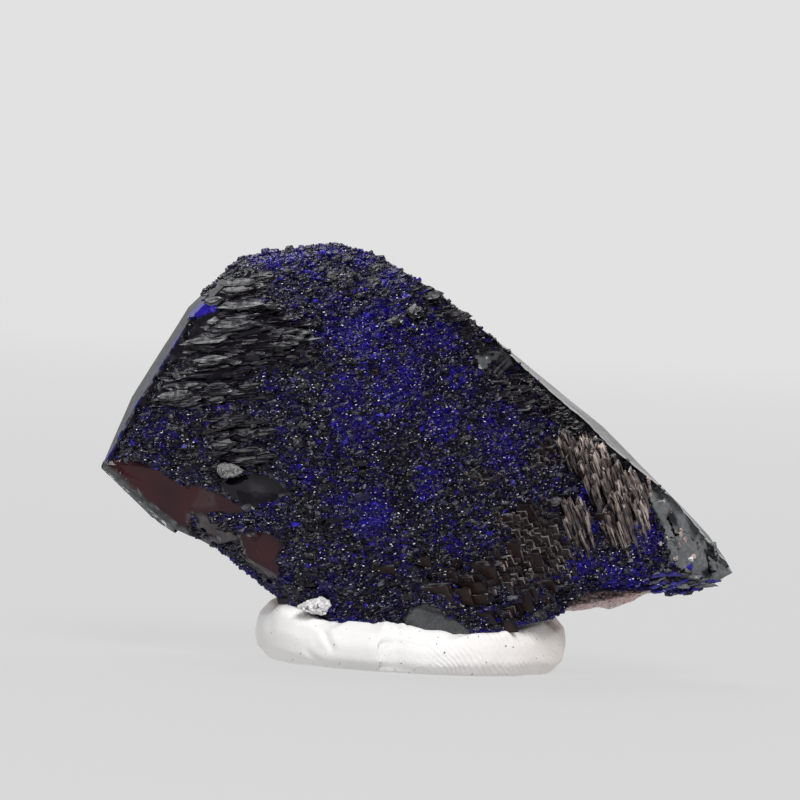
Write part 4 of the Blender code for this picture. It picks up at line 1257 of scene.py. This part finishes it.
class MINERAL_OT_quartz_matrix(Operator):
    """Roughen the quartz matrix behind the fluorite into lumps and grains"""
    bl_idname = "mineral.quartz_matrix"
    bl_label = "Quartz matrix"

    def execute(self, context):
        own = settings().quartz
        matrix = copy_of("quartz_matrix", "quartz_matrix_rock")
        apply_modifier(matrix, "REMESH", mode="VOXEL", voxel_size=0.42 * MM)
        roughen(matrix, "quartz_lumps", size=2.4 * MM, strength=0.9 * MM, middle=0.62, depth=3)
        take(matrix)
        bpy.ops.object.shade_smooth_by_angle(angle=math.radians(35))
        finish = quartz_finish("pink_quartz", own.pink, own.grain, dark=0.9)
        settle(matrix, "quartz_matrix", finish, "quartz_matrix")
        return {"FINISHED"}


class MINERAL_OT_quartz_grains(Operator):
    """Crumble the two white quartz grains"""
    bl_idname = "mineral.quartz_grains"
    bl_label = "White quartz grains"

    def execute(self, context):
        own = settings().quartz
        # How far each is pinched at its left and right end, how far it sits down, and how dark it is.
        for node, pinch, down, shade in (
            ("quartz_grain_side", (1.15, 0.3), 0.0, 0.32), ("quartz_grain_foot", (0.4, 1.1), 0.4, 1.0),
        ):
            grain = copy_of(node, node + "_sugar")
            refine(grain, 0.16 * MM, rounds=5)
            points = points_of(grain.data)
            low, high = points.min(axis=0), points.max(axis=0)
            middle = (low + high) / 2
            across = (points[:, 0] - low[0]) / (high[0] - low[0])
            width = pinch[0] + (pinch[1] - pinch[0]) * across
            points[:, 1:] = middle[1:] + (points[:, 1:] - middle[1:]) * width[:, None]
            points[:, 2] -= (down + 0.3 * (1 - across)) * MM if down else 0
            points[:, 0] = middle[0] + (points[:, 0] - middle[0]) * 1.12 - 0.25 * MM
            move_points(grain.data, points)
            roughen(grain, node, size=0.55 * MM, strength=0.5 * MM, middle=0.55)
            colour = [shade * part for part in own.white[:3]] + [1]
            finish = quartz_finish(node + "_sugar", colour, own.grain * 0.7, dark=0.8, lift=0.35 * shade ** 2)
            settle(grain, "quartz_grain", finish, node)
        return {"FINISHED"}


# ---------------------------------------------------------------- putty


def putty_finish():
    own = settings().putty
    finish = Finish("putty", IOR=1.4)
    place = finish.place()
    x, y, z = finish.coordinates(place)
    cloud = finish.noise(place, 3.0 * MM, detail=3.0)
    # Painted warm light, stronger towards the right end and patchy with the cloud.
    right = x.rise(-1.0 * MM, 14.0 * MM)
    # Painted shade: the putty darkens a little from its middle rightwards, where the lamps light it most.
    painted_shade = x.rise(-13.0 * MM, -5.0 * MM) * 0.16
    even = finish.mix(painted_shade, tuple(own.colour), (0.1, 0.1, 0.1, 1))
    colour = finish.mix(right * (0.4 + cloud * 0.6), even, tuple(own.painted_warm_light))
    specks = finish.noise(place, 0.32 * MM, detail=1.0).rise(0.745, 0.77)
    finish.set("Base Color", finish.mix(specks, colour, (0.12, 0.1, 0.09, 1)))
    finish.set("Roughness", 0.5 + cloud * 0.2)
    swirl = finish.noise(place, 5.0 * MM, detail=1.0)
    line = (x * 0.72 + z * 0.69 + y * 0.2 + swirl * 1.6 * MM) / own.ridge
    ridges = finish.node("ShaderNodeMath", {"operation": "SINE"}, {0: line * (2 * math.pi)})
    print_mask = x.rise(0.5 * MM, 5.0 * MM) * cloud.rise(0.3, 0.55)
    rough = finish.noise(place, 0.55 * MM, detail=4.0) * x.rise(-3.6 * MM, -2.6 * MM)
    grainy = finish.noise(place, 0.28 * MM, detail=3.0)
    finish.set("Normal", finish.bump(ridges * print_mask * 0.3 + grainy * 0.35 + rough * 1.1, 0.07 * MM))
    return finish.material


class MINERAL_OT_putty_ring(Operator):
    """Knead the putty ring: lumps, creases and the lap of its rolled ends"""
    bl_idname = "mineral.putty_ring"
    bl_label = "Putty ring"

    def execute(self, context):
        ring = copy_of("putty_ring", "putty_rope")
        apply_modifier(ring, "REMESH", mode="VOXEL", voxel_size=0.3 * MM)
        apply_modifier(ring, "SMOOTH", factor=0.5, iterations=4)
        roughen(ring, "kneading", size=3.6 * MM, strength=0.26 * MM, depth=1)
        refine(ring, 0.17 * MM, rounds=2,
               near=lambda x, y, z: (np.abs(x - SEAM) < 0.5) & (z < 4.2) & (y < -8))
        points = points_of(ring.data) / MM
        self.lip(points)
        self.knead(points)
        move_points(ring.data, points * MM)
        take(ring)
        bpy.ops.object.shade_smooth()
        settle(ring, "putty", putty_finish(), "putty_ring")
        return {"FINISHED"}

    def lip(self, points):
        """Brings the top of the rope's front to the line of the lip."""
        x, y, z = points.T
        places = np.arange(-14.0, 14.1)
        near = [np.abs(x - place) < 0.6 for place in places]
        fronts = [y[close].min() for close in near]
        tops = [z[close & (y < front + 2.2)].max() for close, front in zip(near, fronts)]
        front, top = np.interp(x, places, fronts), np.interp(x, places, tops)
        wanted = np.interp(x, *zip(*LIP))
        share = (front + 3.4 - y).clip(0, 1) * unit(14.0 - np.abs(x))
        points[:, 2] *= 1 + share * (wanted / top - 1)

    def knead(self, points):
        """Laps the left end over the right one, and presses in the creases and crumbs."""
        x, y, z = points.T
        seam = SEAM + 0.12 * np.sin(2.1 * z)
        reach = unit((3.4 - z) / 0.5) * unit(z / 0.5) * (y < -8)
        left = unit((seam - x) / 0.12 + 0.5)
        off = np.abs(x - seam)
        push = (left * 0.4 * np.exp(-off / 4.0) - (1 - left) * 0.3 * np.exp(-off / 2.5)) * reach
        for crease, depth in zip(CREASES, (0.16, 0.18)):
            far = distance_to(x, z, crease)
            bulge = 0.05 * np.exp(-((far - 0.7) / 0.4) ** 2)
            push = push - (depth * np.exp(-(far / 0.28) ** 2) - bulge) * (y < -6)
        lump = np.exp(-((x + 1.0) / 1.5) ** 2 - ((z - 4.6) / 0.7) ** 2) * (y < -9)
        crumbs = wander(x, z, 0.5, 41.0) + 0.6 * wander(x, z, 0.25, 42.0)
        points[:, 1] -= push + lump * (0.15 + 0.35 * crumbs)
        points[:, 2] += lump * 0.2 * crumbs


# ---------------------------------------------------------------- stage


def area_light(name, towards, distance, size, energy, colour=(1, 1, 1)):
    """A round lamp that shines on the part from a direction."""
    lamp = bpy.data.lights.new(name, "AREA")
    lamp.shape, lamp.size = "DISK", size
    lamp.energy, lamp.color = energy, colour
    obj = linked(name, lamp)
    obj.location = Vector((0, 0, 0.02)) + Vector(towards).normalized() * distance
    obj.rotation_euler = (-Vector(towards)).to_track_quat("-Z", "Y").to_euler()
    obj.visible_camera = False


class MINERAL_OT_stage(Operator):
    """Set the pale floor and backdrop, the lamps, the world and the camera"""
    bl_idname = "mineral.stage"
    bl_label = "Stage, lights and camera"

    def execute(self, context):
        own = settings().stage
        self.backdrop(own)
        self.world()
        area_light("top_softbox", (-0.34, 0.46, 0.82), distance=1.1, size=0.86, energy=own.top_light)
        area_light("front_lamp", (0.14, -0.76, 0.62), distance=1.2, size=0.52, energy=own.front_light)
        area_light("left_spark", (-0.5, -0.7, 0.5), distance=1.0, size=0.13, energy=own.sparks)
        area_light("right_spark", (0.42, -0.62, 0.66), distance=1.0, size=0.13, energy=own.sparks)
        area_light("warm_card", (0.76, 0.62, 0.16), distance=1.0, size=0.3, energy=own.warm_light,
                   colour=(1.0, 0.8, 0.66))
        self.camera(own)
        context.scene.view_settings.view_transform = "Standard"
        return {"FINISHED"}

    def backdrop(self, own):
        """A floor that sweeps up behind."""
        side, front, back, sweep_steps, sweep_step, wall = 4.0, -4.0, 1.7, 10, 0.14, 2.2
        deselect()
        bpy.ops.mesh.primitive_plane_add(size=1.0)
        floor = bpy.context.object
        floor.name = floor.data.name = "sweep"
        edit_mode(True)
        bm = bmesh.from_edit_mesh(floor.data)
        for vert in bm.verts:
            vert.co = Vector((side if vert.co.x > 0 else -side, back if vert.co.y > 0 else front, 0.0))
        bmesh.update_edit_mesh(floor.data)
        for step in range(sweep_steps):
            select_only(floor, "EDGE", self.far_end)
            angle = math.radians(9 * (step + 0.5))
            extrude_by(0, sweep_step * math.cos(angle), sweep_step * math.sin(angle))
        extrude_by(0, 0, wall)
        select_mesh("SELECT")
        bpy.ops.mesh.normals_make_consistent(inside=False)
        edit_mode(False)
        bpy.ops.object.shade_smooth()
        paper = Finish("paper", Roughness=0.9, Specular_IOR_Level=0.1, Emission_Strength=1.0)
        paper.set("Base Color", tuple(own.paper))
        _, y, z = paper.coordinates(paper.place())
        near, high = (0.583, 0.583, 0.583, 1), (0.738, 0.738, 0.738, 1)
        paper.set("Emission Color", paper.mix((y + z).rise(-0.1, 2.3), near, high))
        floor.data.materials.append(paper.material)

    @staticmethod
    def far_end(edge):
        """How far back and up an edge lies that runs from side to side."""
        start, end = (vert.co for vert in edge.verts)
        return start.y + start.z + end.y + end.z - 9 * abs(start.y - end.y)

    def world(self):
        """A pale sky for the camera, and a dim one for the part to reflect."""
        world = bpy.data.worlds.new("studio")
        bpy.context.scene.world = world
        world.use_nodes = True
        tree = world.node_tree
        tree.nodes.clear()
        out, path, mix, around, seen = (tree.nodes.new("ShaderNode" + kind) for kind in (
            "OutputWorld", "LightPath", "MixShader", "Background", "Background"))
        seen.inputs["Color"].default_value = (0.74, 0.74, 0.75, 1)
        around.inputs["Color"].default_value = (0.11, 0.11, 0.115, 1)
        for i, socket in enumerate((path.outputs["Is Camera Ray"], around.outputs[0], seen.outputs[0])):
            tree.links.new(socket, mix.inputs[i])
        tree.links.new(mix.outputs[0], out.inputs["Surface"])

    def camera(self, own):
        """A long lens that sees a field of this width where it aims."""
        sensor, field, aim = 36.0, 0.0796, Vector((-2.31, -5.0, 26.58)) * MM
        lens = bpy.data.cameras.new("camera")
        lens.lens, lens.sensor_width = own.lens, sensor
        lens.clip_start, lens.clip_end = 0.05, 20.0
        camera = linked("camera", lens)
        forward = Vector((0, math.cos(own.elevation), -math.sin(own.elevation)))
        right = Vector((math.cos(own.roll), 0, math.sin(own.roll)))
        up = right.cross(forward).normalized()
        right = forward.cross(up).normalized()
        turn = Matrix((right, up, -forward)).transposed()
        away = Matrix.Translation(aim - forward * (field * own.lens / sensor))
        camera.matrix_world = away @ turn.to_4x4()
        bpy.context.scene.camera = camera


# ---------------------------------------------------------------- panel and registration


class MineralSettings(PropertyGroup):
    fluorite: PointerProperty(type=FluoriteSettings, name="Fluorite",
                              description="Sizes and colours of the fluorite")
    quartz: PointerProperty(type=QuartzSettings, name="Quartz", description="Colours and grain of the quartz")
    putty: PointerProperty(type=PuttySettings, name="Putty", description="Colours and ridges of the putty")
    stage: PointerProperty(type=StageSettings, name="Stage", description="Backdrop, lamps and camera")


STEPS = (
    MINERAL_OT_fluorite_body, MINERAL_OT_crust, MINERAL_OT_ledges, MINERAL_OT_quartz_matrix,
    MINERAL_OT_quartz_grains, MINERAL_OT_putty_ring, MINERAL_OT_stage,
)


class MINERAL_PT_panel(Panel):
    """Builds the mineral, step by step"""
    bl_idname = "MINERAL_PT_panel"
    bl_label = "Fluorite with quartz"
    bl_space_type = "VIEW_3D"
    bl_region_type = "UI"
    bl_category = "Mineral"

    def draw(self, context):
        own = context.scene.mineral
        for group in (own.fluorite, own.quartz, own.putty, own.stage):
            box = self.layout.box()
            for name in group.bl_rna.properties.keys():
                if name not in ("rna_type", "name"):
                    box.prop(group, name)
        for step in STEPS:
            self.layout.operator(step.bl_idname)


CLASSES = (
    FluoriteSettings, QuartzSettings, PuttySettings, StageSettings, MineralSettings, *STEPS, MINERAL_PT_panel,
)


def register():
    for cls in CLASSES:
        bpy.utils.register_class(cls)
    bpy.types.Scene.mineral = PointerProperty(type=MineralSettings)


def unregister():
    del bpy.types.Scene.mineral
    for cls in reversed(CLASSES):
        bpy.utils.unregister_class(cls)


def main():
    register()
    for step in STEPS:
        group, name = step.bl_idname.split(".")
        getattr(getattr(bpy.ops, group), name)()


if __name__ == "__main__":
    main()
